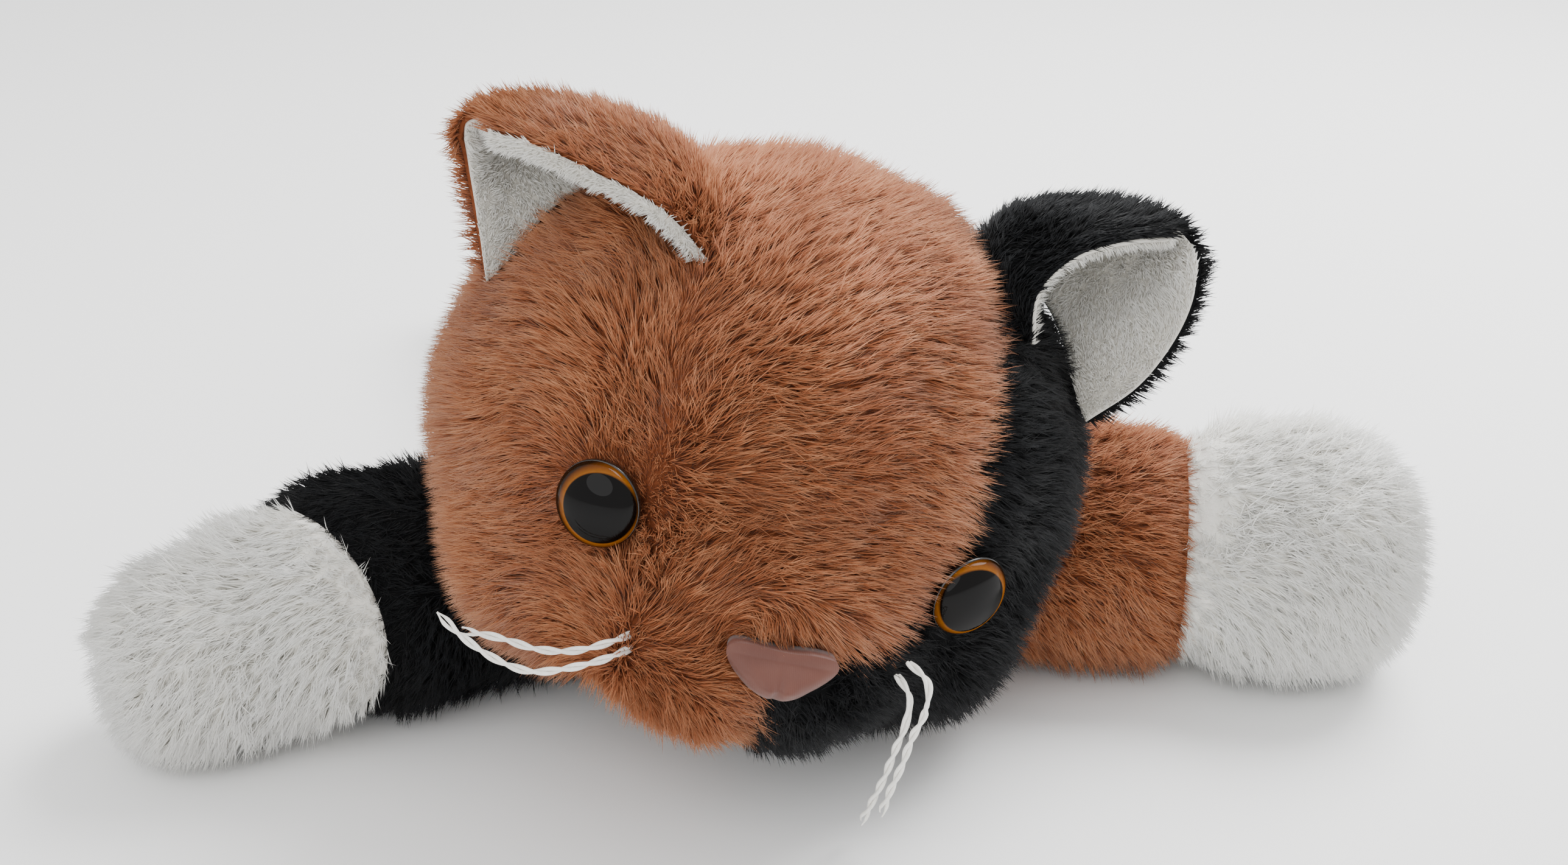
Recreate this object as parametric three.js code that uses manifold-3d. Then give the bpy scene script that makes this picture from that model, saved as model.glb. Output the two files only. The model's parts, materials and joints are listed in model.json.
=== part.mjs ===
// Floppy plush cat lying on its belly, millimetres, +Z up.
// Origin: middle of the flat belly face on the table. The head points to -Y, the tail to +Y.
// "right" and "left" are the cat's own sides: its right side is at -X, its left side at +X.
import * as THREE from 'three';
import { mergeVertices } from 'three/addons/utils/BufferGeometryUtils.js';
import Module from 'manifold-3d';

const wasm = await Module();
wasm.setup();

// ---------- driving dimensions ----------
const gap = 0.3;            // between neighbouring pieces
const skin = 2.4;           // fabric with its pressed pile
const swingGap = 0.8;       // between a limb's round root and its socket

const head = { x: 0, y: -90, z: 56, tilt: 15 };
const skull = { a: [60, 51, 52.5], c: [0, 0, 0] };
const muzzle = { a: [30, 27, 22.5], c: [-1, -37, -18.5] };
const cheeks = { a: [25, 23, 21], c: [27, -20, -21] };
const blend = 2.5;          // softness of the joins between the head's rounds

const neck = { y: -54, z: 38, r: 27 };
const underHead = { front: -105, top: 50 };   // the chest and front legs lie below and behind this

const legRoot = { x: 36, y: -72, z: 23.5, r: 23.5 };
const hindRoot = { x: 34, y: 54, z: 19.5, r: 19 };
const hindScale = 0.86;      // hind legs against the front ones, along their length
const frontLegs = {          // spread is degrees forward of straight out, slant that of the paw's seam
  right: { spread: 21, lengthScale: 1.12, pawLong: 0.88, pawGirth: 0.82, slant: 25 },
  left: { spread: 12, lengthScale: 1, pawLong: 1.18, pawGirth: 1.06, slant: 0 },
};
const hindSpread = 12;      // degrees outward of straight back
const pawSeamAt = 50;       // from the root's centre along the leg
const tailRoot = { y: 70, z: 26, r: 9 };

const eye = { r: 7.5, rim: 0.8, dome: 4.6, lift: 0.6, stemR: 2.2, stem: 10 };
const eyePlaces = { right: [-31.6, -0.4], left: [34, -4.4] };
const nose = { x: 1.5, w: 20, h: 9.5, t: 4.5, z: -15, bevel: 1.4, stemDrop: 1, sunk: 0.8 };
const washer = { r: 8.5, t: 1.6, room: 4, depth: 3.4, noseDepth: 6.4 };

const colours = {
  orange: 0xb07054, black: 0x121416, white: 0xe1e1da, lining: 0xd7d4cd, filling: 0xf2f0ea,
  eye: 0x785522, nose: 0x8c5a52, plastic: 0xd8d8d4, yarn: 0xf0eee6, bag: 0xcfc8b8,
};

const far = 90;              // past the head or the torso in any direction
const fine = [28, 20];       // sides and rings of the head's outer form
const coarse = [18, 13];     // and of its inner one

const rad = THREE.MathUtils.degToRad;

// ---------- solids ----------
function toSolid(geometry) {
  const bare = geometry.clone();
  bare.deleteAttribute('normal');
  bare.deleteAttribute('uv');
  const merged = mergeVertices(bare, 1e-3);
  const index = merged.index.array;
  const whole = [];
  for (let i = 0; i < index.length; i += 3) {
    const [a, b, c] = [index[i], index[i + 1], index[i + 2]];
    if (a !== b && b !== c && a !== c) whole.push(a, b, c);
  }
  return new wasm.Manifold(new wasm.Mesh({
    numProp: 3,
    vertProperties: Float32Array.from(merged.attributes.position.array),
    triVerts: Uint32Array.from(whole),
  }));
}

function toGeometry(solid) {
  const mesh = solid.getMesh();
  const geometry = new THREE.BufferGeometry();
  geometry.setAttribute('position', new THREE.BufferAttribute(Float32Array.from(mesh.vertProperties), 3));
  geometry.setIndex(new THREE.BufferAttribute(Uint32Array.from(mesh.triVerts), 1));
  geometry.computeVertexNormals();
  return geometry;
}

function ball(r, x, y, z, segments = 16) {
  const geometry = new THREE.SphereGeometry(r, segments, Math.round(segments * 0.6));
  return geometry.translate(x, y, z);
}

function block(x0, x1, y0, y1, z0, z1) {
  const geometry = new THREE.BoxGeometry(x1 - x0, y1 - y0, z1 - z0);
  return geometry.translate((x0 + x1) / 2, (y0 + y1) / 2, (z0 + z1) / 2);
}

// A stuffed round form: oval rings strung on a curve. Each station is [x, y, z, half width, half height].
function softForm(stations, { shrink = 0, rings = 12, sides = 14, floor = 0 } = {}) {
  const curve = (points) => new THREE.CatmullRomCurve3(points, false, 'catmullrom');
  const path = curve(stations.map(s => new THREE.Vector3(s[0], s[1], s[2])));
  const sizes = curve(stations.map(s => new THREE.Vector3(s[3], s[4], 0)));
  const geometry = new THREE.SphereGeometry(1, sides, rings);
  const position = geometry.attributes.position;
  const uv = geometry.attributes.uv;
  const up = new THREE.Vector3(0, 0, 1);
  const trim = Math.max(shrink, 0) / path.getLength();
  for (let i = 0; i < position.count; i++) {
    const ring = Math.round(uv.getY(i) * rings) / rings;
    const side = Math.round(uv.getX(i) * sides) % sides;
    const pole = ring === 0 || ring === 1;
    const t = trim + ring * (1 - 2 * trim);
    const centre = path.getPoint(t);
    const along = path.getTangent(t);
    const across = new THREE.Vector3().crossVectors(up, along).normalize();
    const rise = new THREE.Vector3().crossVectors(along, across).normalize();
    const size = sizes.getPoint(t);
    const angle = side / sides * 2 * Math.PI;
    const w = pole ? 0 : Math.max(size.x - shrink, 0.2) * Math.cos(angle);
    const h = pole ? 0 : Math.max(size.y - shrink, 0.2) * Math.sin(angle);
    const point = centre.addScaledVector(across, w).addScaledVector(rise, h);
    point.z = Math.max(point.z, floor + shrink);
    position.setXYZ(i, point.x, point.y, point.z);
  }
  return outward(geometry);
}

function outward(geometry) {
  const solid = toSolid(geometry);
  if (solid.volume() > 0) return solid;
  const index = geometry.index.array;
  for (let i = 0; i < index.length; i += 3) [index[i], index[i + 1]] = [index[i + 1], index[i]];
  return toSolid(geometry);
}

// The head's round form: for each direction, how far its ovals reach, joined softly.
function reach(direction, round, grow) {
  let [a, b, c] = [0, 0, -1];
  for (let k = 0; k < 3; k++) {
    const size = round.a[k] + grow;
    a += (direction[k] / size) ** 2;
    b += direction[k] * round.c[k] / size ** 2;
    c += (round.c[k] / size) ** 2;
  }
  const root = b * b - a * c;
  return root > 0 ? (b + Math.sqrt(root)) / a : 0;
}

function headReach(direction, grow) {
  const otherCheek = { a: cheeks.a, c: [-cheeks.c[0], cheeks.c[1], cheeks.c[2]] };
  const reaches = [skull, muzzle, cheeks, otherCheek].map(round => reach(direction, round, grow));
  const longest = Math.max(...reaches);
  const sum = reaches.reduce((total, r) => total + Math.exp((r - longest) / blend), 0);
  return longest + blend * Math.log(sum);
}

function headForm(grow, [sides, rings]) {
  const geometry = new THREE.SphereGeometry(1, sides, rings);
  const position = geometry.attributes.position;
  const point = new THREE.Vector3();
  for (let i = 0; i < position.count; i++) {
    point.fromBufferAttribute(position, i).normalize();
    point.multiplyScalar(headReach(point.toArray(), grow));
    position.setXYZ(i, point.x, point.y, point.z);
  }
  return outward(geometry);
}

// ---------- scene graph ----------
const cat = new THREE.Group();
const headGroup = new THREE.Group();
headGroup.position.set(head.x, head.y, head.z);
headGroup.rotation.y = rad(head.tilt);
headGroup.updateMatrixWorld(true);
cat.add(headGroup);
const toHead = headGroup.matrixWorld.clone().invert();

function add(name, solid, colour, { parent = cat, roughness = 0.95, metalness = 0 } = {}) {
  const geometry = solid.isBufferGeometry ? solid : toGeometry(solid);
  const material = new THREE.MeshStandardMaterial({ color: colour, roughness, metalness });
  const mesh = new THREE.Mesh(geometry, material);
  mesh.name = name;
  parent.add(mesh);
  return mesh;
}

function inHead(geometry) {
  return toSolid(geometry.applyMatrix4(toHead));
}

// ---------- head ----------
const neckRoom = (extra, segments) => inHead(ball(neck.r + swingGap + extra, 0, neck.y, neck.z, segments));
const chestRoom = (extra) => inHead(
  block(-far, far, underHead.front - extra, far, -far, underHead.top + extra));
const headOut = headForm(0, fine).subtract(neckRoom(0, 20)).subtract(chestRoom(0));
const headIn = headForm(-skin, coarse).subtract(neckRoom(skin, 16)).subtract(chestRoom(skin));
const headShell = headOut.subtract(headIn);

// half width of the centre gusset at each height, seen from the front
const gussetOutline = [[10, -13.5], [22, -10.5], [26, -6], [28.5, 2], [29.5, 14], [29.5, 80]];

function gussetPrism(grow) {
  const shape = new THREE.Shape();
  const right = gussetOutline.map(([x, z]) => [x + grow, z - (z < 0 ? grow : 0)]);
  const outline = [...right, ...right.map(([x, z]) => [-x, z]).reverse()];
  outline.forEach(([x, z], i) => (i ? shape.lineTo(x, z) : shape.moveTo(x, z)));
  const prism = new THREE.ExtrudeGeometry(shape, { depth: 2 * far, bevelEnabled: false });
  return toSolid(prism.rotateX(Math.PI / 2).translate(0, far, 0));
}

// Safety eyes and nose: a moulded face with a stem through the fabric, and a lock washer inside.
function frontPlace(x, z) {
  let inside = 0;
  let outside = far;
  for (let i = 0; i < 40; i++) {
    const y = (inside + outside) / 2;
    const point = new THREE.Vector3(x, -y, z);
    const distance = point.length();
    if (distance < headReach(point.divideScalar(distance).toArray(), 0)) inside = y;
    else outside = y;
  }
  return new THREE.Vector3(x, -inside, z);
}

function frontNormal(x, z) {
  const step = 4;
  const dx = frontPlace(x + step, z).sub(frontPlace(x - step, z));
  const dz = frontPlace(x, z + step).sub(frontPlace(x, z - step));
  return dx.cross(dz).normalize();
}

function turned(profile, x, z, out, sides = 16) {
  const geometry = new THREE.LatheGeometry(profile.map(([r, h]) => new THREE.Vector2(r, h)), sides);
  const turn = new THREE.Quaternion().setFromUnitVectors(new THREE.Vector3(0, 1, 0), frontNormal(x, z));
  const place = frontPlace(x, z).addScaledVector(frontNormal(x, z), out);
  geometry.applyQuaternion(turn).translate(place.x, place.y, place.z);
  return outward(geometry);
}

const domeProfile = [[0, -eye.stem], [eye.stemR, -eye.stem], [eye.stemR, 0], [eye.r, 0]];
for (let i = 1; i <= 5; i++) {
  const angle = i / 6 * Math.PI / 2;
  domeProfile.push([eye.r * Math.cos(angle), eye.rim + (eye.dome - eye.rim) * Math.sin(angle)]);
}
domeProfile.push([0, eye.dome]);
const holeR = eye.stemR + gap;
const halfWasher = washer.t / 2;
const stemHoleProfile = [[0, -eye.stem - gap], [holeR, -eye.stem - gap], [holeR, washer.room],
  [0, washer.room]];
const washerProfile = [[holeR, -halfWasher], [washer.r, -halfWasher], [washer.r, halfWasher],
  [holeR, halfWasher], [holeR, -halfWasher]];
const washerRoomProfile = [[0, -halfWasher - gap], [washer.r + gap, -halfWasher - gap],
  [washer.r + gap, washer.room], [0, washer.room]];
const washerPlace = -skin - gap - washer.depth;
const noseWasherPlace = -skin - gap - washer.noseDepth;
const noseStemZ = nose.z - nose.stemDrop;

const shellCuts = [];
const fillCuts = [];
for (const [side, [x, z]] of Object.entries(eyePlaces)) {
  add(`eye_${side}`, turned(domeProfile, x, z, eye.lift), colours.eye,
    { parent: headGroup, roughness: 0.12 });
  add(`eye_washer_${side}`, turned(washerProfile, x, z, washerPlace, 12), colours.plastic,
    { parent: headGroup, roughness: 0.6 });
  shellCuts.push(turned(stemHoleProfile, x, z, eye.lift, 12));
  fillCuts.push(turned(washerRoomProfile, x, z, washerPlace, 12));
}

// nose: a wide soft triangle with rounded corners
const noseShape = new THREE.Shape();
const noseCurve = (...shares) => noseShape.bezierCurveTo(
  ...shares.map((share, i) => share * (i % 2 ? nose.h : nose.w)));
noseShape.moveTo(0, -nose.h * 0.55);
noseCurve(0.2, -0.5, 0.5, 0.05, 0.47, 0.25);
noseCurve(0.44, 0.5, 0.2, 0.42, 0, 0.38);
noseCurve(-0.2, 0.42, -0.44, 0.5, -0.47, 0.25);
noseCurve(-0.5, 0.05, -0.2, -0.5, 0, -0.55);
const noseGeometry = new THREE.ExtrudeGeometry(noseShape, {
  depth: nose.t - nose.bevel, bevelEnabled: true, bevelThickness: nose.bevel, bevelSize: nose.bevel,
  bevelOffset: -nose.bevel, bevelSegments: 2, curveSegments: 4,
});
const noseBack = frontPlace(nose.x, nose.z).y - nose.sunk;
noseGeometry.rotateX(Math.PI / 2).translate(nose.x, noseBack, nose.z);
const noseRoom = headForm(gap, fine);
const noseStemTop = nose.t / 2;
const noseStemProfile = [[0, -eye.stem], [eye.stemR, -eye.stem], [eye.stemR, noseStemTop], [0, noseStemTop]];
const noseStem = turned(noseStemProfile, nose.x, noseStemZ, 0, 12);
add('nose', toSolid(noseGeometry).subtract(noseRoom).add(noseStem), colours.nose,
  { parent: headGroup, roughness: 0.45 });
add('nose_washer', turned(washerProfile, nose.x, noseStemZ, noseWasherPlace, 12), colours.plastic,
  { parent: headGroup, roughness: 0.6 });
shellCuts.push(turned(stemHoleProfile, nose.x, noseStemZ, 0, 12));
fillCuts.push(turned(washerRoomProfile, nose.x, noseStemZ, noseWasherPlace, 12));

const cutAll = (solid, cuts) => cuts.reduce((rest, cut) => rest.subtract(cut), solid);
const pierced = cutAll(headShell, shellCuts);
const rightHalf = toSolid(block(-far, -gap / 2, -far, far, -far, far));
const leftHalf = toSolid(block(gap / 2, far, -far, far, -far, far));
add('head_gusset', pierced.intersect(gussetPrism(0)), colours.orange, { parent: headGroup });
const headSides = pierced.subtract(gussetPrism(gap));
add('head_panel_right', headSides.intersect(rightHalf), colours.orange, { parent: headGroup });
add('head_panel_left', headSides.intersect(leftHalf), colours.black, { parent: headGroup });
const headFill = headForm(-skin - gap, coarse).subtract(neckRoom(skin + gap, 16))
  .subtract(chestRoom(skin + gap));
add('head_stuffing', cutAll(cutAll(headFill, shellCuts), fillCuts), colours.filling, { parent: headGroup });

// ---------- ears ----------
// Rows run from the base to the tip, and each row from the inner edge round the back to the outer edge.
const foldedEar = [
  [[-25, -31, 34], [-21, -17, 43], [-28, -3, 46], [-45, 1, 37], [-57, -7, 20]],
  [[-35, -32, 40.5], [-28, -17, 49], [-34, 1, 49.5], [-51, 4, 41], [-60, -5, 28]],
  [[-47, -30, 45], [-42, -16, 51.5], [-47, 2, 51], [-57, 4, 45.5], [-63, -4, 36]],
  [[-57, -25, 47], [-54, -13, 51.5], [-57, -2, 51], [-62, -1, 48], [-65, -6, 42]],
  [[-61, -19, 48], [-62, -14, 49.5], [-64, -10, 49.5], [-66, -9, 48], [-66, -9, 45]],
];
const openEar = [
  [[38, -22, 36], [30, -10, 43], [34, 3, 44], [48, 3, 34], [55, -14, 21]],
  [[37, -19, 44], [30, -6, 47.5], [36, 4, 50], [52, 3, 40], [61, -17, 31]],
  [[42, -17, 51.5], [36, -5, 53], [42, 2, 54.5], [57, 1, 46.5], [64.5, -17, 41]],
  [[51, -15, 56], [49, -6, 57.5], [53, -2, 57.5], [61, -3, 53], [66, -15, 48.5]],
  [[59, -13, 58], [60, -10, 58.5], [62, -8, 58.5], [65, -9, 56.5], [66, -12, 54]],
];
const earSkin = 1.8;
const liningSkin = 1.3;

function earPoint(rows, u, v) {
  const pointOn = (row) => new THREE.CatmullRomCurve3(row.map(p => new THREE.Vector3(...p))).getPoint(u);
  const column = rows.map(pointOn);
  return new THREE.CatmullRomCurve3(column).getPoint(v);
}

const earStep = 0.02;

function earNormal(rows, u, v) {
  const across = earPoint(rows, Math.min(u + earStep, 1), v).sub(earPoint(rows, Math.max(u - earStep, 0), v));
  const along = earPoint(rows, u, Math.min(v + earStep, 1)).sub(earPoint(rows, u, Math.max(v - earStep, 0)));
  return across.cross(along).normalize();
}

// One cloth layer, from low to high above the rows on the ear's back side.
function earLayer(rows, low, high) {
  const [acrossCount, alongCount] = [8, 6];
  const nearBase = 0.3;
  const geometry = new THREE.BoxGeometry(1, 1, 1, acrossCount, alongCount, 1);
  const position = geometry.attributes.position;
  const chord = earPoint(rows, 0, nearBase).add(earPoint(rows, 1, nearBase)).multiplyScalar(0.5);
  const backward = earPoint(rows, 0.5, nearBase).sub(chord);
  const facing = Math.sign(earNormal(rows, 0.5, nearBase).dot(backward));
  for (let i = 0; i < position.count; i++) {
    const u = THREE.MathUtils.clamp(position.getX(i) + 0.5, 0, 1);
    const v = THREE.MathUtils.clamp(position.getY(i) + 0.5, 0, 1);
    const height = position.getZ(i) > 0 ? high : low;
    const point = earPoint(rows, u, v).addScaledVector(earNormal(rows, u, v), facing * height);
    position.setXYZ(i, point.x, point.y, point.z);
  }
  return outward(geometry);
}

const earRoom = headForm(3 * gap, fine);
for (const [name, rows, colour] of [['right', foldedEar, colours.orange], ['left', openEar, colours.black]]) {
  add(`ear_${name}_outer`, earLayer(rows, 0, earSkin).subtract(earRoom), colour, { parent: headGroup });
  add(`ear_${name}_lining`, earLayer(rows, -gap - liningSkin, -gap).subtract(earRoom), colours.lining,
    { parent: headGroup });
}

// ---------- whiskers ----------
const yarn = 1.4;            // diameter
const yarnSides = 8;
const whiskers = {
  whisker_right_upper: [[-24, -142.5, 44.5], [-30, -145, 43.6], [-36, -145.5, 42.6], [-42, -144, 42.4],
    [-48, -142, 43.6], [-54.5, -140.5, 44.6]],
  whisker_right_lower: [[-24.6, -143, 42], [-31, -147, 41.6], [-37, -149, 41.4], [-43, -148.4, 40.8],
    [-49, -146, 42.2], [-54.5, -143.6, 45.6], [-58, -142, 49]],
  whisker_left_upper: [[20, -145.4, 37.4], [22.6, -150, 36], [22, -151.8, 31.6], [20, -151.4, 26.4],
    [18.6, -150.4, 20.4], [17, -148.8, 14.4], [15.6, -147.4, 8.4]],
  whisker_left_lower: [[18, -146, 35.4], [19.6, -149.8, 33.4], [19, -150.4, 28.6], [17.4, -149.8, 23],
    [16, -148.4, 17], [14.4, -146.4, 11], [12.6, -144, 4.4]],
};

function yarnTube(points) {
  const path = new THREE.CatmullRomCurve3(points.map(p => new THREE.Vector3(...p)));
  const section = new THREE.Shape();
  for (let i = 0; i < yarnSides; i++) {
    const angle = i / yarnSides * 2 * Math.PI;
    const [x, y] = [yarn / 2 * Math.cos(angle), yarn / 2 * Math.sin(angle)];
    if (i) section.lineTo(x, y);
    else section.moveTo(x, y);
  }
  return toSolid(new THREE.ExtrudeGeometry(section, { steps: 9, bevelEnabled: false, extrudePath: path }));
}

const headSkinWorld = headForm(gap, fine).transform([...headGroup.matrixWorld.elements]);
for (const [name, points] of Object.entries(whiskers)) {
  add(name, yarnTube(points).subtract(headSkinWorld), colours.yarn);
}

// ---------- torso ----------
const torsoStations = [
  [0, -97, 17, 0, 0], [0, -95, 18, 13, 10], [0, -88, 20, 23, 17], [0, -76, 21.5, 29, 21],
  [0, -60, 22.5, 33, 23.5], [0, -42, 23.5, 37, 24], [0, -22, 24.5, 44, 26], [0, 0, 26, 48, 31],
  [0, 18, 27, 47, 33], [0, 36, 26, 42, 31], [0, 49, 24, 34, 26], [0, 59, 22, 23, 19], [0, 66, 20, 12, 11],
  [0, 68, 19, 0, 0],
];
const limbRoots = [
  { ...legRoot, x: -legRoot.x }, legRoot, { ...hindRoot, x: -hindRoot.x }, hindRoot,
];
const sockets = (extra) => [
  ...limbRoots.map(root => toSolid(ball(root.r + swingGap + extra, root.x, root.y, root.z, 16))),
  toSolid(ball(tailRoot.r + swingGap + extra, 0, tailRoot.y, tailRoot.z, 12)),
];
const torsoOut = softForm(torsoStations, { rings: 15, sides: 18 });
const torsoIn = softForm(torsoStations, { shrink: skin, rings: 12, sides: 14 });
const torsoShell = cutAll(torsoOut.subtract(torsoIn), sockets(0));
const bellyHeight = 12;
const below = (height) => toSolid(block(-far, far, -2 * far, 2 * far, -far, height));
const backs = torsoShell.subtract(below(bellyHeight + gap));
const rightSide = toSolid(block(-far, -gap / 2, -2 * far, 2 * far, -far, far));
const leftSide = toSolid(block(gap / 2, far, -2 * far, 2 * far, -far, far));
add('belly_panel', torsoShell.intersect(below(bellyHeight)), colours.white);
add('back_panel_right', backs.intersect(rightSide), colours.orange);
add('back_panel_left', backs.intersect(leftSide), colours.black);

const pelletBag = { w: 24, y0: -34, y1: 26, top: 20 };
const torsoFill = cutAll(softForm(torsoStations, { shrink: skin + gap, rings: 12, sides: 14 }), sockets(gap));
const bagBlock = (extra) => toSolid(block(-pelletBag.w - extra, pelletBag.w + extra, pelletBag.y0 - extra,
  pelletBag.y1 + extra, -far, pelletBag.top + extra));
add('torso_stuffing', torsoFill.subtract(bagBlock(gap)), colours.filling);
add('pellet_bag', torsoFill.intersect(bagBlock(0)), colours.bag);

// neck: a short round fabric collar on the shoulders that the head turns on
const neckBall = toSolid(ball(neck.r, 0, neck.y, neck.z, 16));
const shoulderRoom = softForm(torsoStations, { shrink: -gap, rings: 15, sides: 18, floor: gap });
const neckInner = toSolid(ball(neck.r - skin, 0, neck.y, neck.z, 12));
const neckFillBall = toSolid(ball(neck.r - skin - gap, 0, neck.y, neck.z, 12));
add('neck_collar', cutAll(neckBall.subtract(neckInner).subtract(shoulderRoom), sockets(0)), colours.orange);
add('neck_stuffing', cutAll(neckFillBall.subtract(shoulderRoom), sockets(skin + gap)), colours.filling);

// ---------- legs ----------
// Half width along each leg, from the root's centre outward: the sleeve, then the paw.
const legProfile = [
  [-20.5, 0], [-19, 8], [-13, 15.8], [0, 20.5], [9, 19.7], [18, 20], [34, 21.5], [50, 20.8],
  [60, 21], [70, 21.2], [79, 19.4], [85, 14.2], [87.6, 7.4], [88, 0],
];
const profileRoot = 20.5;    // the profile's own radius at the root
const legOpening = 4;        // radius of the hole that a leg is stuffed through
const legRest = 0.5;         // how far a round leg is pressed flat by the table

function legStations(root, direction, { lengthScale, pawLong, pawGirth, round }) {
  const girth = root.r / profileRoot;
  const pawWidest = Math.max(...legProfile.filter(([s]) => s > pawSeamAt).map(([, r]) => r));
  const pawMiddle = pawWidest * girth * pawGirth - legRest;
  return legProfile.map(([s, r]) => {
    const beyondSeam = Math.max(s - pawSeamAt, 0);
    const along = s < 0 ? s * girth : (s + beyondSeam * (pawLong - 1)) * lengthScale;
    const size = r * girth * (s > pawSeamAt ? pawGirth : 1);
    const height = round ? size : Math.min(size, root.z + legRest);
    const lying = s > pawSeamAt ? Math.max(size - legRest, pawMiddle) : size - legRest;
    const z = round && s > 0 ? lying : root.z;
    return [root.x + direction[0] * along, root.y + direction[1] * along, z, size, height];
  });
}

function addLeg(name, root, direction, sleeveColour, pawColour, shape) {
  const { slant = 0, lengthScale = 1, pawLong = 1, pawGirth = 1, round = false } = shape;
  const stations = legStations(root, direction, { lengthScale, pawLong, pawGirth, round });
  const out = softForm(stations, { rings: 13, sides: 14 });
  const inside = softForm(stations, { shrink: skin, rings: 9, sides: 10 });
  const fill = softForm(stations, { shrink: skin + gap, rings: 9, sides: 10 });
  const shell = out.subtract(inside);
  const seamAt = pawSeamAt * lengthScale;
  const seam = [root.x + direction[0] * seamAt, root.y + direction[1] * seamAt, root.z];
  const turn = Math.atan2(direction[1], direction[0]) + rad(slant);
  const place = new THREE.Matrix4().makeRotationZ(turn).setPosition(...seam);
  const beyond = (start) => toSolid(new THREE.BoxGeometry(2 * far, 2 * far, 2 * far)
    .translate(far + start, 0, 0).applyMatrix4(place));
  const [openX, openY] = [root.x - direction[0] * root.r, root.y - direction[1] * root.r];
  const opening = toSolid(ball(legOpening, openX, openY, root.z, 12));
  add(`${name}_sleeve`, shell.subtract(beyond(-gap)).subtract(opening), sleeveColour);
  add(`${name}_paw`, shell.intersect(beyond(0)), pawColour);
  add(`${name}_stuffing`, fill, colours.filling);
}

function frontDirection({ spread }, sign) {
  return [sign * Math.cos(rad(spread)), -Math.sin(rad(spread))];
}
const [rightFront, leftFront, rightHind, leftHind] = limbRoots;
const hindOut = Math.sin(rad(hindSpread));
const hindBack = Math.cos(rad(hindSpread));
addLeg('front_leg_right', rightFront, frontDirection(frontLegs.right, -1), colours.black, colours.white,
  { ...frontLegs.right, round: true });
addLeg('front_leg_left', leftFront, frontDirection(frontLegs.left, 1), colours.orange, colours.white,
  { ...frontLegs.left, round: true });
addLeg('hind_leg_right', rightHind, [-hindOut, hindBack], colours.orange, colours.white,
  { lengthScale: hindScale });
addLeg('hind_leg_left', leftHind, [hindOut, hindBack], colours.black, colours.white,
  { lengthScale: hindScale });

// ---------- tail ----------
const tailStations = [
  [0, 61, 27, 0, 0], [0, 63, 26.8, 5.4, 5.4], [0, 70, 26, 9, 9], [0, 80, 24, 8.6, 8.6], [0, 92, 18, 8.6, 8.6],
  [0, 106, 11, 8.8, 8.8], [0, 120, 9.2, 9, 9], [0, 133, 9, 8.4, 8.4], [0, 140, 9, 5.4, 5.4],
  [0, 142, 9, 0, 0],
];
const tailSkin = 1.8;
const tailSeamAt = 114;
const tailOpening = 3;
const tailForm = (shrink) => softForm(tailStations, { shrink, rings: 11, sides: 8 });
const tailShell = softForm(tailStations, { rings: 14, sides: 10 }).subtract(tailForm(tailSkin));
const tailPiece = (from, to) => tailShell.intersect(toSolid(block(-far, far, from, to, -far, far)));
const tailHole = toSolid(ball(tailOpening, ...tailStations[0].slice(0, 3), 10));
add('tail_base', tailPiece(0, tailSeamAt).subtract(tailHole), colours.black);
add('tail_tip', tailPiece(tailSeamAt + gap, 2 * far), colours.white);
add('tail_stuffing', tailForm(tailSkin + gap), colours.filling);

export default cat;
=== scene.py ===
import json
import math

import bmesh
import bpy
import numpy as np
from mathutils import Euler, Matrix, Vector, noise

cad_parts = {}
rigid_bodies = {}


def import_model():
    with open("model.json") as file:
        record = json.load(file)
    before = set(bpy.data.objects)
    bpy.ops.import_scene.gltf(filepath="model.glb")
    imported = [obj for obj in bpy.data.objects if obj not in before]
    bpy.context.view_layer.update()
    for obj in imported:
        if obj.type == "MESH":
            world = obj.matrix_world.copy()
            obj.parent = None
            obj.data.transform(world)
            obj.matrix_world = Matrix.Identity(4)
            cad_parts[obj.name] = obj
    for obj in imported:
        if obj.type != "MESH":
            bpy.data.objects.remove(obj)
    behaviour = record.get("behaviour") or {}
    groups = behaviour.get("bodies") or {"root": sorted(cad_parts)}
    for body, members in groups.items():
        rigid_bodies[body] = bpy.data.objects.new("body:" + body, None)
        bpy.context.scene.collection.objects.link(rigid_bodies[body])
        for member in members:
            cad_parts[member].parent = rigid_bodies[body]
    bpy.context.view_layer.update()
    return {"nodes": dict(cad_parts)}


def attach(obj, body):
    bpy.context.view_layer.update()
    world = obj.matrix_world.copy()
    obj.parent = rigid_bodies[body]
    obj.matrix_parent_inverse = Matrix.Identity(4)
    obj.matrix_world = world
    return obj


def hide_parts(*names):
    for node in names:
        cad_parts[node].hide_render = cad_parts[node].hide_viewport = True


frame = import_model()
mm = 0.001

# ---- camera, floor and light ----
cameraSettings = {
    "place": (-0.0254, -0.4235, 0.2049),
    "pitch": 66.0,       # degrees up from straight down
    "heading": -5.0,
    "lens": 44.3,
}
lightSettings = {
    "worldColour": (1.0, 1.0, 1.0),
    "worldStrength": 1.3,
    "floorColour": (0.97, 0.97, 0.965),
    "windowWatts": 16.0,
    "windowPlace": (0.45, 0.25, 0.75),
    "windowSize": 0.7,
    "roomWatts": 4.0,
    "roomPlace": (-0.45, -0.75, 0.65),
    "roomSize": 0.9,
}


def addCamera(settings):
    camera = bpy.data.cameras.new("tableCamera")
    camera.lens = settings["lens"]
    camera.sensor_width = 36
    camera.clip_start = 0.01
    seat = bpy.data.objects.new("tableCamera", camera)
    bpy.context.scene.collection.objects.link(seat)
    seat.location = settings["place"]
    seat.rotation_euler = Euler((math.radians(settings["pitch"]), 0, math.radians(settings["heading"])))
    bpy.context.scene.camera = seat


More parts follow.
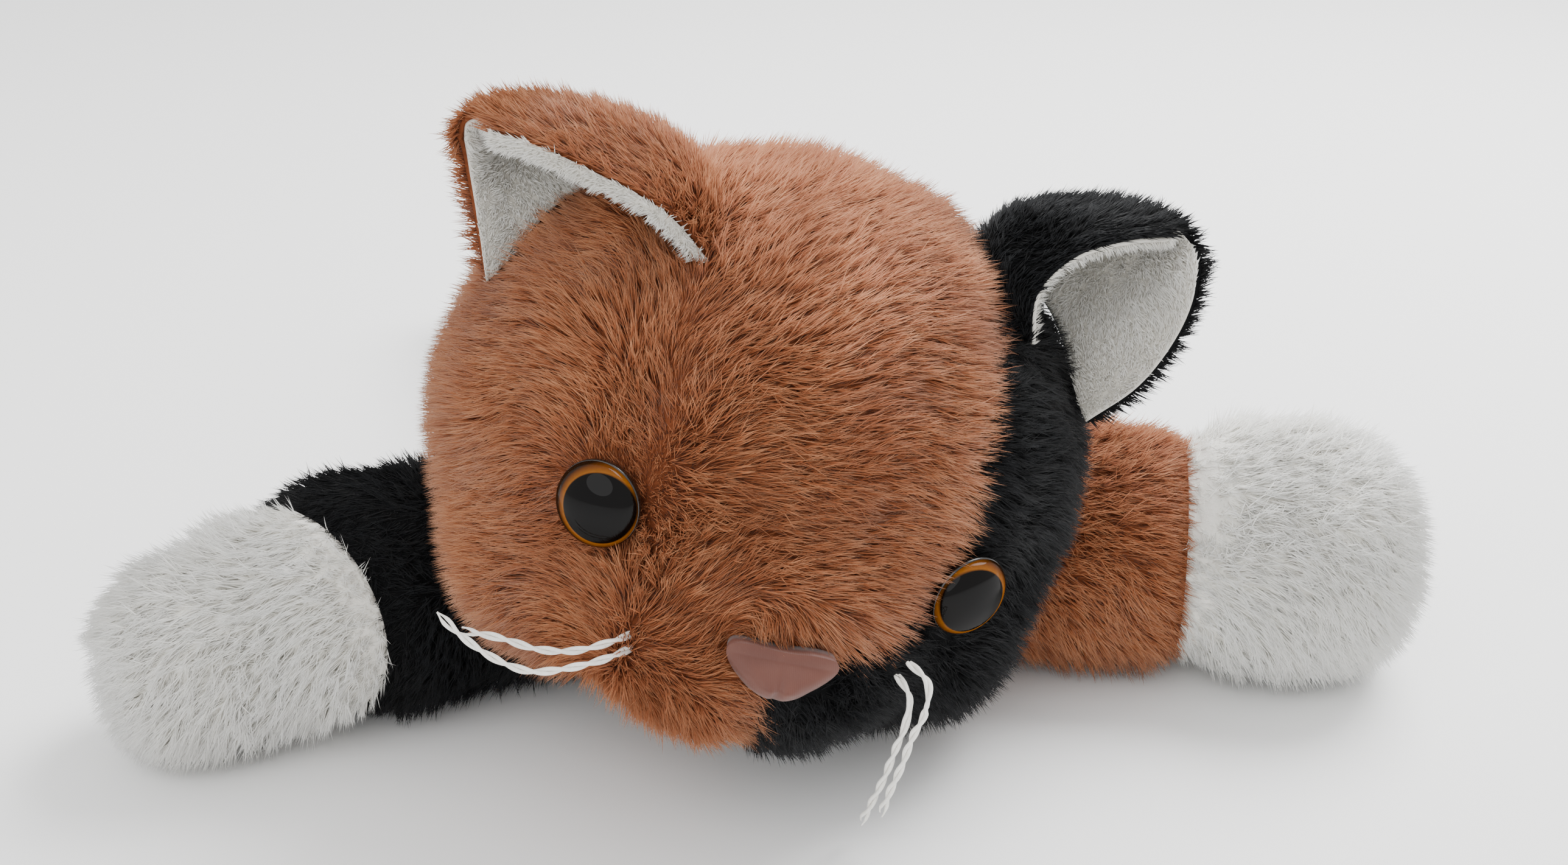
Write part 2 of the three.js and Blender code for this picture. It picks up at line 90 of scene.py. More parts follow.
def addLamp(name, place, size, watts, target=(0, -0.05, 0.04)):
    lamp = bpy.data.lights.new(name, "AREA")
    lamp.shape = "DISK"
    lamp.size = size
    lamp.energy = watts
    holder = bpy.data.objects.new(name, lamp)
    bpy.context.scene.collection.objects.link(holder)
    holder.location = place
    holder.rotation_euler = (Vector(target) - Vector(place)).to_track_quat("-Z", "Y").to_euler()


def addStudio(settings):
    world = bpy.data.worlds.new("softRoom")
    world.use_nodes = True
    background = world.node_tree.nodes["Background"]
    background.inputs["Color"].default_value = (*settings["worldColour"], 1)
    background.inputs["Strength"].default_value = settings["worldStrength"]
    bpy.context.scene.world = world
    addLamp("window", settings["windowPlace"], settings["windowSize"], settings["windowWatts"])
    addLamp("roomLight", settings["roomPlace"], settings["roomSize"], settings["roomWatts"])
    mesh = bpy.data.meshes.new("tableTop")
    half = 3.0
    mesh.from_pydata([(-half, -half, 0), (half, -half, 0), (half, half, 0), (-half, half, 0)], [], [(0, 1, 2, 3)])
    table = bpy.data.objects.new("tableTop", mesh)
    bpy.context.scene.collection.objects.link(table)
    paint = bpy.data.materials.new("palePaint")
    paint.use_nodes = True
    shader = paint.node_tree.nodes["Principled BSDF"]
    shader.inputs["Base Color"].default_value = (*settings["floorColour"], 1)
    shader.inputs["Roughness"].default_value = 0.9
    mesh.materials.append(paint)


addCamera(cameraSettings)
addStudio(lightSettings)
print("camera and studio ready")


# ---- small helpers ----
def linear(r, g, b):
    # screen colour, 0 to 255, to the linear colour that a shader takes
    return tuple(((c / 255 + 0.055) / 1.055) ** 2.4 if c > 10 else c / 255 / 12.92 for c in (r, g, b))


def alongLine(points, shares, even=False):
    # a smooth line through the points, taken at shares from 0 to 1
    p = np.asarray(points, float)
    last = len(p) - 2
    p = np.vstack([2 * p[0] - p[1], p, 2 * p[-1] - p[-2]])
    where = np.clip(np.asarray(shares, float), 0, 1) * (last + 1)
    i = np.minimum(where.astype(int), last)
    w = (where - i)[:, None]
    x0, x1, x2, x3 = p[i], p[i + 1], p[i + 2], p[i + 3]
    if even:
        a, b = (x2 - x0) / 2, (x3 - x1) / 2
    else:
        d0, d1, d2 = (np.sqrt(np.linalg.norm(q - r, axis=1))[:, None] + 1e-9
                      for q, r in ((x0, x1), (x1, x2), (x2, x3)))
        a = ((x1 - x0) / d0 - (x2 - x0) / (d0 + d1) + (x2 - x1) / d1) * d1
        b = ((x2 - x1) / d1 - (x3 - x1) / (d1 + d2) + (x3 - x2) / d2) * d1
    return x1 + a * w + (3 * (x2 - x1) - 2 * a - b) * w**2 + (2 * (x1 - x2) + a + b) * w**3


def unit(v):
    return v / np.maximum(np.linalg.norm(v, axis=-1, keepdims=True), 1e-12)


def meshFrom(name, points, faces, smooth=True):
    # points in millimetres
    mesh = bpy.data.meshes.new(name)
    mesh.from_pydata((np.asarray(points, float) * mm).tolist(), [], faces)
    mesh.validate()
    piece = bpy.data.objects.new(name, mesh)
    bpy.context.scene.collection.objects.link(piece)
    if smooth:
        mesh.shade_smooth()
    return piece


def corners(mesh):
    co = np.zeros(len(mesh.vertices) * 3)
    mesh.vertices.foreach_get("co", co)
    return co.reshape(-1, 3) / mm


def normalsOf(mesh):
    n = np.zeros(len(mesh.vertices) * 3, np.float32)
    mesh.vertex_normals.foreach_get("vector", n)
    return n.reshape(-1, 3).astype(float)


def setCorners(mesh, points):
    mesh.vertices.foreach_set("co", (np.asarray(points) * mm).astype(np.float32).ravel())
    mesh.update()


def applied(piece):
    # the piece's mesh with its modifiers done, and no modifier left
    graph = bpy.context.evaluated_depsgraph_get()
    mesh = bpy.data.meshes.new_from_object(piece.evaluated_get(graph), depsgraph=graph)
    piece.modifiers.clear()
    piece.data = mesh
    return piece


def faceOut(mesh):
    bm = bmesh.new()
    bm.from_mesh(mesh)
    bmesh.ops.remove_doubles(bm, verts=bm.verts, dist=1e-6)
    bmesh.ops.recalc_face_normals(bm, faces=bm.faces)
    bm.to_mesh(mesh)
    bm.free()


def drop(piece):
    bpy.data.objects.remove(piece)


# ---- the cat's forms, in millimetres, in the frame of the CAD ----
headSettings = {
    "centre": (0, -90, 56),
    "tilt": 15.0,
    "skull": ((60, 51, 52.5), (0, 0, 0)),
    "muzzle": ((30, 27, 22.5), (-1, -37, -18.5)),
    "cheek": ((25, 23, 21), (27, -20, -21)),
    "softness": 2.5,
    "gusset": [(10, -13.5), (22, -10.5), (26, -6), (28.5, 2), (29.5, 14), (29.5, 80)],
}
neckSettings = {"centre": (0, -54, 38), "radius": 27}
torsoStations = [
    (0, -97, 17, 0, 0), (0, -95, 18, 13, 10), (0, -88, 20, 23, 17), (0, -76, 21.5, 29, 21),
    (0, -60, 22.5, 33, 23.5), (0, -42, 23.5, 37, 24), (0, -22, 24.5, 44, 26), (0, 0, 26, 48, 31),
    (0, 18, 27, 47, 33), (0, 36, 26, 42, 31), (0, 49, 24, 34, 26), (0, 59, 22, 23, 19),
    (0, 66, 20, 12, 11), (0, 68, 19, 0, 0),
]
tailStations = [
    (0, 61, 27, 0, 0), (0, 63, 26.8, 5.4, 5.4), (0, 70, 26, 9, 9), (0, 80, 24, 8.6, 8.6),
    (0, 92, 18, 8.6, 8.6), (0, 106, 11, 8.8, 8.8), (0, 120, 9.2, 9, 9), (0, 133, 9, 8.4, 8.4),
    (0, 140, 9, 5.4, 5.4), (0, 142, 9, 0, 0),
]
legSettings = {
    "profile": [(-20.5, 0), (-19, 8), (-13, 15.8), (0, 20.5), (9, 19.7), (18, 20), (34, 21.5), (50, 20.8),
                (60, 21), (70, 21.2), (79, 19.4), (85, 14.2), (87.6, 7.4), (88, 0)],
    "profileRoot": 20.5, "pawSeam": 50.0, "pawWidest": 21.2, "pressed": 0.5,
    "frontRoot": (36, -72, 23.5), "frontRadius": 23.5,
    "hindRoot": (34, 54, 19.5), "hindRadius": 19.0, "hindSpread": 12.0, "hindLong": 0.86,
    # spread is degrees forward of straight out, and slant that of the paw's seam
    "frontRight": {"spread": 21, "long": 1.12, "pawLong": 0.88, "pawGirth": 0.82, "slant": 25},
    "frontLeft": {"spread": 12, "long": 1.0, "pawLong": 1.18, "pawGirth": 1.06, "slant": 0},
}
tiltCos = math.cos(math.radians(headSettings["tilt"]))
tiltSin = math.sin(math.radians(headSettings["tilt"]))


def headToCat(p):
    p = np.asarray(p, float)
    x, y, z = p[..., 0], p[..., 1], p[..., 2]
    turned = np.stack([x * tiltCos + z * tiltSin, y, -x * tiltSin + z * tiltCos], -1)
    return turned + np.array(headSettings["centre"], float)


def turnWithHead(v):
    return headToCat(v) - np.array(headSettings["centre"], float)


def catToHead(p):
    q = np.asarray(p, float) - np.array(headSettings["centre"], float)
    x, y, z = q[..., 0], q[..., 1], q[..., 2]
    return np.stack([x * tiltCos - z * tiltSin, y, x * tiltSin + z * tiltCos], -1)


def ovalReach(d, size, centre):
    size, centre = np.array(size, float), np.array(centre, float)
    a = ((d / size) ** 2).sum(1)
    b = (d * centre / size**2).sum(1)
    c = (centre**2 / size**2).sum() - 1
    root = b * b - a * c
    return np.where(root > 0, (b + np.sqrt(np.maximum(root, 0))) / a, 0)


def headReach(d):
    # how far the head's round surface is from its middle, in each direction
    cheekSize, (cx, cy, cz) = headSettings["cheek"]
    rounds = [headSettings["skull"], headSettings["muzzle"], (cheekSize, (cx, cy, cz)), (cheekSize, (-cx, cy, cz))]
    reaches = np.stack([ovalReach(d, *r) for r in rounds])
    longest = reaches.max(0)
    soft = headSettings["softness"]
    return longest + soft * np.log(np.exp((reaches - longest) / soft).sum(0))


def faceAt(x, z):
    # the point of the face with this x and z, in the head's own frame
    near, far = np.zeros(1), np.full(1, 90.0)
    for _ in range(40):
        y = (near + far) / 2
        p = np.array([[x, -y[0], z]])
        inside = np.linalg.norm(p) < headReach(unit(p))
        near, far = np.where(inside, y, near), np.where(inside, far, y)
    return np.array([x, -near[0], z])


def faceNormal(x, z, step=4.0):
    across = faceAt(x + step, z) - faceAt(x - step, z)
    up = faceAt(x, z + step) - faceAt(x, z - step)
    return unit(np.cross(across, up))


def legShape(front, left):
    if not front:
        return {"spread": legSettings["hindSpread"], "long": legSettings["hindLong"],
                "pawLong": 1.0, "pawGirth": 1.0, "slant": 0}
    return legSettings["frontLeft" if left else "frontRight"]


def legDirection(front, left):
    spread = math.radians(legShape(front, left)["spread"])
    sign = 1 if left else -1
    if front:
        return np.array([math.cos(spread) * sign, -math.sin(spread), 0])
    return np.array([math.sin(spread) * sign, math.cos(spread), 0])


def legRoot(front, left):
    x, y, z = legSettings["frontRoot" if front else "hindRoot"]
    return np.array([x if left else -x, y, z], float)


def legStations(front, left):
    root, out, shape = legRoot(front, left), legDirection(front, left), legShape(front, left)
    girth = legSettings["frontRadius" if front else "hindRadius"] / legSettings["profileRoot"]
    pressed = legSettings["pressed"]
    pawMiddle = legSettings["pawWidest"] * girth * shape["pawGirth"] - pressed
    rows = []
    for s, r in legSettings["profile"]:
        beyond = max(s - legSettings["pawSeam"], 0)
        along = s * girth if s < 0 else (s + beyond * (shape["pawLong"] - 1)) * shape["long"]
        x, y, z = root + out * along
        size = r * girth * (shape["pawGirth"] if beyond else 1)
        if not front:
            rows.append((x, y, z, size, min(size, z + pressed)))
        elif s <= 0:
            rows.append((x, y, z, size, size))
        else:
            rows.append((x, y, max(size - pressed, pawMiddle) if beyond else size - pressed, size, size))
    return rows


def stuffedTube(name, stations, rings=44, sides=36, shrink=0.0):
    # oval rings strung on a curve, flat where they meet the table
    s = np.array(stations, float)
    length = np.linalg.norm(np.diff(alongLine(s[:, :3], np.linspace(0, 1, 60), True), axis=0), axis=1).sum()
    trim = shrink / length
    t = trim + (1 - 2 * trim) * (1 - np.cos(np.linspace(0, math.pi, rings + 1))) / 2
    centre, size = alongLine(s[:, :3], t, True), alongLine(s[:, 3:], t, True)
    ahead = unit(alongLine(s[:, :3], t + 0.004, True) - alongLine(s[:, :3], t - 0.004, True))
    across = unit(np.cross([0, 0, 1], ahead))
    rise = np.cross(ahead, across)
    angle = np.arange(sides) / sides * 2 * math.pi
    size = np.maximum(size - shrink, 0.15)
    points = (centre[:, None] + across[:, None] * (size[:, :1] * np.cos(angle))[:, :, None]
              + rise[:, None] * (size[:, 1:] * np.sin(angle))[:, :, None])[1:-1]
    points[..., 2] = np.maximum(points[..., 2], shrink)
    flat = points.reshape(-1, 3)
    first, last = len(flat), len(flat) + 1
    flat = np.vstack([flat, centre[0], centre[-1]])
    faces, rows = [], rings - 1
    for i in range(rows - 1):
        for j in range(sides):
            k = (j + 1) % sides
            faces.append((i * sides + j, i * sides + k, (i + 1) * sides + k, (i + 1) * sides + j))
    for j in range(sides):
        k = (j + 1) % sides
        faces.append((first, k, j))
        faces.append((last, (rows - 1) * sides + j, (rows - 1) * sides + k))
    piece = meshFrom(name, flat, faces)
    faceOut(piece.data)
    return piece


def tubeClearance(stations, p):
    # rough distance from points to an oval tube, negative inside
    s = np.array(stations, float)
    fine = np.linspace(0, 1, 90)
    centre, size = alongLine(s[:, :3], fine, True), np.maximum(alongLine(s[:, 3:], fine, True), 0.1)
    best = np.full(len(p), 1e9)
    for c, (w, h) in zip(centre, size):
        best = np.minimum(best, np.linalg.norm(p - c, axis=1) - min(w, h))
    return best


def torsoClearance(p):
    s = np.array(torsoStations, float)
    y = p[:, 1]
    z, w, h = (np.interp(y, s[:, 1], s[:, k]) for k in (2, 3, 4))
    w, h = np.maximum(w, 0.5), np.maximum(h, 0.5)
    round_ = np.sqrt((p[:, 0] / w) ** 2 + ((p[:, 2] - z) / h) ** 2)
    side = (round_ - 1) * np.minimum(w, h)
    return np.maximum(side, np.maximum(s[0, 1] - y, y - s[-1, 1]))


def roomLeft(p):
    # how far a point is from all that the head rests on
    clear = torsoClearance(p)
    clear = np.minimum(clear, np.linalg.norm(p - np.array(neckSettings["centre"]), axis=1) - neckSettings["radius"])
    for left in (False, True):
        clear = np.minimum(clear, tubeClearance(legStations(True, left), p))
    return clear


def headForm(name, shrink=0.0):
    # the whole head, dented where it lies on the chest, the neck and the front legs
    bm = bmesh.new()
    bmesh.ops.create_icosphere(bm, subdivisions=5, radius=1)
    mesh = bpy.data.meshes.new(name)
    bm.to_mesh(mesh)
    bm.free()
    d = unit(corners(mesh) * mm)
    reach = headReach(d) - shrink
    limit = reach.copy()
    for r in np.arange(22, 76, 0.75):
        near = roomLeft(headToCat(d * r)) < 1.6 + shrink
        limit = np.where(near & (limit > r), r, limit)
    piece = bpy.data.objects.new(name, mesh)
    bpy.context.scene.collection.objects.link(piece)
    bm = bmesh.new()
    bm.from_mesh(mesh)
    bm.verts.ensure_lookup_table()
    around = [[e.other_vert(v).index for e in v.link_edges] for v in bm.verts]
    bm.free()
    pressed = limit < reach - 0.5
    for _ in range(5):
        mean = np.array([limit[n].mean() for n in around])
        limit = np.where(pressed, np.minimum(limit, mean), limit)
    setCorners(mesh, headToCat(d * limit[:, None]))
    mesh.shade_smooth()
    return piece


# ---- stuffing: each closed form is filled until its fabric is tight ----
stuffSettings = {
    "voxel": 4.0, "pressure": 4.0, "frames": 20, "start": 1.2,
    "cap": 5.0,          # millimetres that a point may move
    "shift": 0.75,       # share of that movement that is kept
}


def remeshed(piece, voxel):
    remesh = piece.modifiers.new("evenMesh", "REMESH")
    remesh.mode = "VOXEL"
    remesh.voxel_size = voxel * mm
    remesh.use_smooth_shade = True
    return applied(piece)


def stuffed(piece, seams, voxel=None, cap=None):
    # seams gives each point's distance from the nearest seam, which holds the fabric in
    settings = stuffSettings
    remeshed(piece, voxel or settings["voxel"])
    rest = corners(piece.data)
    near = np.exp(-(seams(rest) / 5.0) ** 2)
    hold = piece.vertex_groups.new(name="seamHold")
    for i in np.nonzero(near > 0.05)[0]:
        hold.add([int(i)], float(near[i]), "REPLACE")
    start = rest - normalsOf(piece.data) * settings["start"]
    setCorners(piece.data, start)
    cloth = piece.modifiers.new("filling", "CLOTH")
    fabric = cloth.settings
    fabric.quality = 4
    fabric.use_pressure = True
    fabric.uniform_pressure_force = settings["pressure"]
    fabric.vertex_group_mass = "seamHold"
    fabric.effector_weights.gravity = 0
    scene = bpy.context.scene
    for number in range(1, settings["frames"] + 1):
        scene.frame_set(number)
    graph = bpy.context.evaluated_depsgraph_get()
    swollen = corners(piece.evaluated_get(graph).data)
    piece.modifiers.clear()
    piece.vertex_groups.clear()
    scene.frame_set(1)
    move = swollen - rest
    far = np.linalg.norm(move, axis=1, keepdims=True)
    limit = cap or settings["cap"]
    move *= np.minimum(1, limit / np.maximum(far, 1e-6)) * settings["shift"]
    rest = rest + np.nan_to_num(move)
    rest[:, 2] = np.maximum(rest[:, 2], 0.6)
    setCorners(piece.data, rest)
    finer = piece.modifiers.new("finer", "SUBSURF")
    finer.levels = finer.render_levels = 1
    return applied(piece)


def sewn(piece, seams, depth=1.3, width=3.0):
    # the fabric is drawn in along its seams
    p = corners(piece.data)
    pull = depth * np.exp(-(seams(p) / width) ** 2)
    p = p - normalsOf(piece.data) * pull[:, None]
    p[:, 2] = np.maximum(p[:, 2], 0.5)
    setCorners(piece.data, p)
    return piece


def cutAlong(bm, value):
    # new edges where value changes sign
    level = {v: float(value(np.array(v.co) / mm)) for v in bm.verts}
    for edge in list(bm.edges):
        a, b = edge.verts
        if level[a] * level[b] < 0:
            share = abs(level[a]) / (abs(level[a]) + abs(level[b]))
            made = bmesh.utils.edge_split(edge, a, share)[1]
            level[made] = 0.0
    for face in list(bm.faces):
        on = [v for v in face.verts if level[v] == 0.0]
        if len(on) == 2 and not any(on[0] in e.verts and on[1] in e.verts for e in face.edges):
            bmesh.utils.face_split(face, on[0], on[1])


def panels(piece, cuts, regions):
    # the closed form cut into its sewn panels; regions gives each panel's name and its test on a point
    bm = bmesh.new()
    bm.from_mesh(piece.data)
    for cut in cuts:
        cutAlong(bm, cut)
    bm.to_mesh(piece.data)
    bm.free()
    made = {}
    for name, belongs in regions.items():
        mesh = piece.data.copy()
        bm = bmesh.new()
        bm.from_mesh(mesh)
        other = [f for f in bm.faces if not belongs(np.array(f.calc_center_median()) / mm)]
        bmesh.ops.delete(bm, geom=other, context="FACES")
        bm.to_mesh(mesh)
        bm.free()
        mesh.name = name
        panel = bpy.data.objects.new(name, mesh)
        bpy.context.scene.collection.objects.link(panel)
        mesh.shade_smooth()
        made[name] = panel
    drop(piece)
    return made


def thickened(panel, skin=1.2):
    solid = panel.modifiers.new("cloth", "SOLIDIFY")
    solid.thickness = skin * mm
    solid.offset = -1
    solid.use_even_offset = False
    return applied(panel)


def tag(mesh, name, kind, values):
    layer = mesh.attributes.get(name) or mesh.attributes.new(name, kind, "POINT")
    field = "vector" if kind == "FLOAT_VECTOR" else "value"
    layer.data.foreach_set(field, np.asarray(values, np.float32).ravel())


# ---- materials ----
def newMaterial(name, colour, roughness, **inputs):
    material = bpy.data.materials.new(name)
    material.use_nodes = True
    shader = material.node_tree.nodes["Principled BSDF"]
    shader.inputs["Base Color"].default_value = (*colour, 1)
    shader.inputs["Roughness"].default_value = roughness
    for key, value in inputs.items():
        shader.inputs[key.replace("_", " ")].default_value = value
    material.diffuse_color = (*colour, 1)
    return material


def node(tree, kind, **values):
    made = tree.nodes.new(kind)
    for key, value in values.items():
        if key in made.inputs.keys():
            made.inputs[key].default_value = value
        else:
            setattr(made, key, value)
    return made


def blendColour(tree, share, a, b):
    mix = tree.nodes.new("ShaderNodeMix")
    mix.data_type = "RGBA"
    for socket, value in ((mix.inputs[0], share), (mix.inputs[6], a), (mix.inputs[7], b)):
        if isinstance(value, bpy.types.NodeSocket):
            tree.links.new(value, socket)
        elif isinstance(value, (int, float)):
            socket.default_value = value
        else:
            socket.default_value = (*value, 1)
    return mix.outputs[2]


pileColours = {
    # root, middle, tip and patch colours: the darker root is painted shade among the fibres, the lighter tip a
    # painted highlight, and the darker patches painted shade of fur that lies another way
    "orange": (linear(78, 38, 20), linear(158, 92, 56), linear(212, 152, 110), linear(134, 74, 44)),
    "black": (linear(3, 3, 4), linear(9, 10, 12), linear(26, 28, 32), linear(6, 7, 8)),
    "white": (linear(226, 223, 214), linear(244, 243, 238), linear(254, 254, 252), linear(238, 236, 229)),
    "lining": (linear(196, 192, 183), linear(234, 232, 225), linear(250, 249, 245), linear(216, 213, 204)),
}


def pileMaterial(key):
    # each fibre runs from painted shade at its root to a painted highlight at its tip, and no two are quite alike
    root, middle, tip, napShade = pileColours[key]
    material = newMaterial(key + "Pile", middle, 0.62)
    tree = material.node_tree
    shader = tree.nodes["Principled BSDF"]
    shader.inputs["Sheen Weight"].default_value = 0.1 if key != "black" else 0.03
    shader.inputs["Sheen Roughness"].default_value = 0.45
    shader.inputs["Specular IOR Level"].default_value = 0.18
    along = node(tree, "ShaderNodeAttribute", attribute_name="fibreAlong").outputs["Fac"]
    shade = node(tree, "ShaderNodeAttribute", attribute_name="fibreShade").outputs["Fac"]
    # painted shade at the root, the fibre's own colour in the middle, a painted highlight at the tip
    ramp = tree.nodes.new("ShaderNodeValToRGB")
    ramp.color_ramp.elements[0].color = (*root, 1)
    ramp.color_ramp.elements[1].color = (*tip, 1)
    ramp.color_ramp.elements[0].position = 0.0
    ramp.color_ramp.elements[1].position = 1.0
    between = ramp.color_ramp.elements.new(0.45)
    between.color = (*middle, 1)
    rootShadeToTipHighlight = node(tree, "ShaderNodeMath", operation="MULTIPLY_ADD")
    tree.links.new(shade, rootShadeToTipHighlight.inputs[0])
    rootShadeToTipHighlight.inputs[1].default_value = 0.45
    shift = node(tree, "ShaderNodeMath", operation="MULTIPLY_ADD")
    tree.links.new(along, shift.inputs[0])
    shift.inputs[1].default_value = 0.75
    shift.inputs[2].default_value = -0.12
    tree.links.new(shift.outputs[0], rootShadeToTipHighlight.inputs[2])
    tree.links.new(rootShadeToTipHighlight.outputs[0], ramp.inputs[0])
    place = node(tree, "ShaderNodeTexCoord")
    napShadePatches = node(tree, "ShaderNodeTexNoise", Scale=55.0, Detail=3.0, Roughness=0.6)
    tree.links.new(place.outputs["Object"], napShadePatches.inputs["Vector"])
    spread = node(tree, "ShaderNodeMapRange")
    spread.inputs["From Min"].default_value = 0.42
    spread.inputs["From Max"].default_value = 0.72
    spread.inputs["To Max"].default_value = 0.6
    tree.links.new(napShadePatches.outputs["Fac"], spread.inputs["Value"])
    # darker noise patches of painted shade, where the nap lies another way, laid over the fibre colour
    tree.links.new(blendColour(tree, spread.outputs[0], ramp.outputs[0], napShade), shader.inputs["Base Color"])
    return material


def backingMaterial(key):
    # the knitted cloth under the pile, painted darker in the pile's root and patch colours (painted shade), with
    # the pile's own roots showing as fine streaks
    root, middle, tip, napShade = pileColours[key]
    material = newMaterial(key + "Backing", root, 0.9)
    tree = material.node_tree
    shader = tree.nodes["Principled BSDF"]
    shader.inputs["Specular IOR Level"].default_value = 0.15
    place = node(tree, "ShaderNodeTexCoord")
    knit = node(tree, "ShaderNodeTexNoise", Scale=900.0, Detail=4.0, Roughness=0.7)
    tree.links.new(place.outputs["Object"], knit.inputs["Vector"])
    # the knit streaks mix the painted shade of the roots with the painted shade of the patches
    tree.links.new(blendColour(tree, knit.outputs["Fac"], root, napShade), shader.inputs["Base Color"])
    bump = node(tree, "ShaderNodeBump", Strength=0.6, Distance=0.0004)
    tree.links.new(knit.outputs["Fac"], bump.inputs["Height"])
    tree.links.new(bump.outputs[0], shader.inputs["Normal"])
    return material


pileMaterials = {key: pileMaterial(key) for key in pileColours}
backingMaterials = {key: backingMaterial(key) for key in pileColours}


# ---- the pile: tapered straight fibres set over a panel and combed ----
pileSettings = {
    "fibreLength": 6.4,      # millimetres, of an average fibre
    "fibreRadius": 0.17,
    "lean": 0.62,
    "wander": 0.55,
    "clumping": 0.4,
    "clumpSize": 2.3,
}


def pileTree():
    tree = bpy.data.node_groups.new("furPile", "GeometryNodeTree")
    face = tree.interface
    face.new_socket("Geometry", in_out="INPUT", socket_type="NodeSocketGeometry")
    for name, value in (("Fibres per m2", 1e6), ("Fibre length", 0.0075), ("Fibre radius", 0.00026),
                        ("Lean", 0.5), ("Wander", 0.5), ("Clumping", 0.45), ("Clump size", 0.0032)):
        face.new_socket(name, in_out="INPUT", socket_type="NodeSocketFloat").default_value = value
    face.new_socket("Seed", in_out="INPUT", socket_type="NodeSocketInt").default_value = 1
    face.new_socket("Pile", in_out="INPUT", socket_type="NodeSocketMaterial")
    face.new_socket("Geometry", in_out="OUTPUT", socket_type="NodeSocketGeometry")
    nodes, links = tree.nodes, tree.links
    given = nodes.new("NodeGroupInput")
    result = nodes.new("NodeGroupOutput")

    def maths(operation, a, b=None, c=None):
        made = nodes.new("ShaderNodeMath")
        made.operation = operation
        for socket, value in zip(made.inputs, (a, b, c)):
            if isinstance(value, bpy.types.NodeSocket):
                links.new(value, socket)
            elif value is not None:
                socket.default_value = value
        return made.outputs[0]

    def vectors(operation, a, b=None, scale=None):
        made = nodes.new("ShaderNodeVectorMath")
        made.operation = operation
        for socket, value in ((made.inputs[0], a), (made.inputs[1], b)):
            if isinstance(value, bpy.types.NodeSocket):
                links.new(value, socket)
            elif value is not None:
                socket.default_value = value
        if isinstance(scale, bpy.types.NodeSocket):
            links.new(scale, made.inputs["Scale"])
        elif scale is not None:
            made.inputs["Scale"].default_value = scale
        return made.outputs[0]

    def named(name, kind):
        made = nodes.new("GeometryNodeInputNamedAttribute")
        made.data_type = kind
        made.inputs[0].default_value = name
        return made.outputs[0]

    def randomBetween(low, high, turn):
        made = nodes.new("FunctionNodeRandomValue")
        made.data_type = "FLOAT"
        made.inputs[2].default_value = low
        made.inputs[3].default_value = high
        links.new(maths("ADD", given.outputs["Seed"], turn), made.inputs["Seed"])
        return made.outputs[1]

    # one fibre: a three-sided spike
    spike = nodes.new("GeometryNodeMeshCone")
    spike.fill_type = "NONE"
    spike.inputs["Vertices"].default_value = 3
    spike.inputs["Side Segments"].default_value = 1
    spike.inputs["Radius Top"].default_value = 0
    links.new(given.outputs["Fibre radius"], spike.inputs["Radius Bottom"])
    links.new(given.outputs["Fibre length"], spike.inputs["Depth"])
    height = nodes.new("ShaderNodeSeparateXYZ")
    links.new(nodes.new("GeometryNodeInputPosition").outputs[0], height.inputs[0])
    share = maths("DIVIDE", height.outputs["Z"], given.outputs["Fibre length"])
    share = maths("MINIMUM", maths("MAXIMUM", share, 0.0), 1.0)
    mark = nodes.new("GeometryNodeStoreNamedAttribute")
    mark.data_type = "FLOAT"
    mark.domain = "POINT"
    mark.inputs["Name"].default_value = "fibreAlong"
    links.new(spike.outputs["Mesh"], mark.inputs["Geometry"])
    links.new(share, mark.inputs["Value"])

    # where they stand
    scatter = nodes.new("GeometryNodeDistributePointsOnFaces")
    scatter.distribute_method = "RANDOM"
    links.new(given.outputs["Geometry"], scatter.inputs["Mesh"])
    links.new(maths("MULTIPLY", given.outputs["Fibres per m2"], named("thick", "FLOAT")),
              scatter.inputs["Density"])
    links.new(given.outputs["Seed"], scatter.inputs["Seed"])

    # which way they lie
    place = nodes.new("GeometryNodeInputPosition").outputs[0]
    swirl = nodes.new("ShaderNodeTexNoise")
    swirl.inputs["Scale"].default_value = 70.0
    swirl.inputs["Detail"].default_value = 3.0
    links.new(place, swirl.inputs["Vector"])
    drift = vectors("SCALE", vectors("SUBTRACT", swirl.outputs["Color"], (0.5, 0.5, 0.5)),
                    scale=maths("MULTIPLY", given.outputs["Wander"], 3.2))
    cells = nodes.new("ShaderNodeTexVoronoi")
    cells.feature = "F1"
    links.new(maths("DIVIDE", 1.0, given.outputs["Clump size"]), cells.inputs["Scale"])
    links.new(vectors("ADD", place, vectors("SCALE", drift, scale=0.0012)), cells.inputs["Vector"])
    toClump = vectors("SUBTRACT", cells.outputs["Position"], place)
    gather = vectors("SCALE", toClump, scale=maths("DIVIDE", given.outputs["Clumping"],
                                                   given.outputs["Clump size"]))
    combed = vectors("ADD", vectors("NORMALIZE", named("comb", "FLOAT_VECTOR")), drift)
    upright = vectors("SCALE", scatter.outputs["Normal"], scale=maths("SUBTRACT", 1.0, given.outputs["Lean"]))
    leaning = vectors("SCALE", combed, scale=given.outputs["Lean"])
    stray = nodes.new("FunctionNodeRandomValue")
    stray.data_type = "FLOAT_VECTOR"
    stray.inputs[0].default_value = (-0.22, -0.22, -0.22)
    stray.inputs[1].default_value = (0.22, 0.22, 0.22)
    links.new(maths("ADD", given.outputs["Seed"], 31), stray.inputs["Seed"])
    heading = vectors("ADD", vectors("ADD", vectors("ADD", upright, leaning), gather), stray.outputs[0])
    stand = nodes.new("FunctionNodeAlignRotationToVector")
    stand.axis = "Z"
    links.new(vectors("NORMALIZE", heading), stand.inputs["Vector"])
    turn = nodes.new("FunctionNodeAlignRotationToVector")
    turn.axis = "X"
    turn.pivot_axis = "Z"
    links.new(stand.outputs[0], turn.inputs["Rotation"])
    links.new(vectors("NORMALIZE", combed), turn.inputs["Vector"])

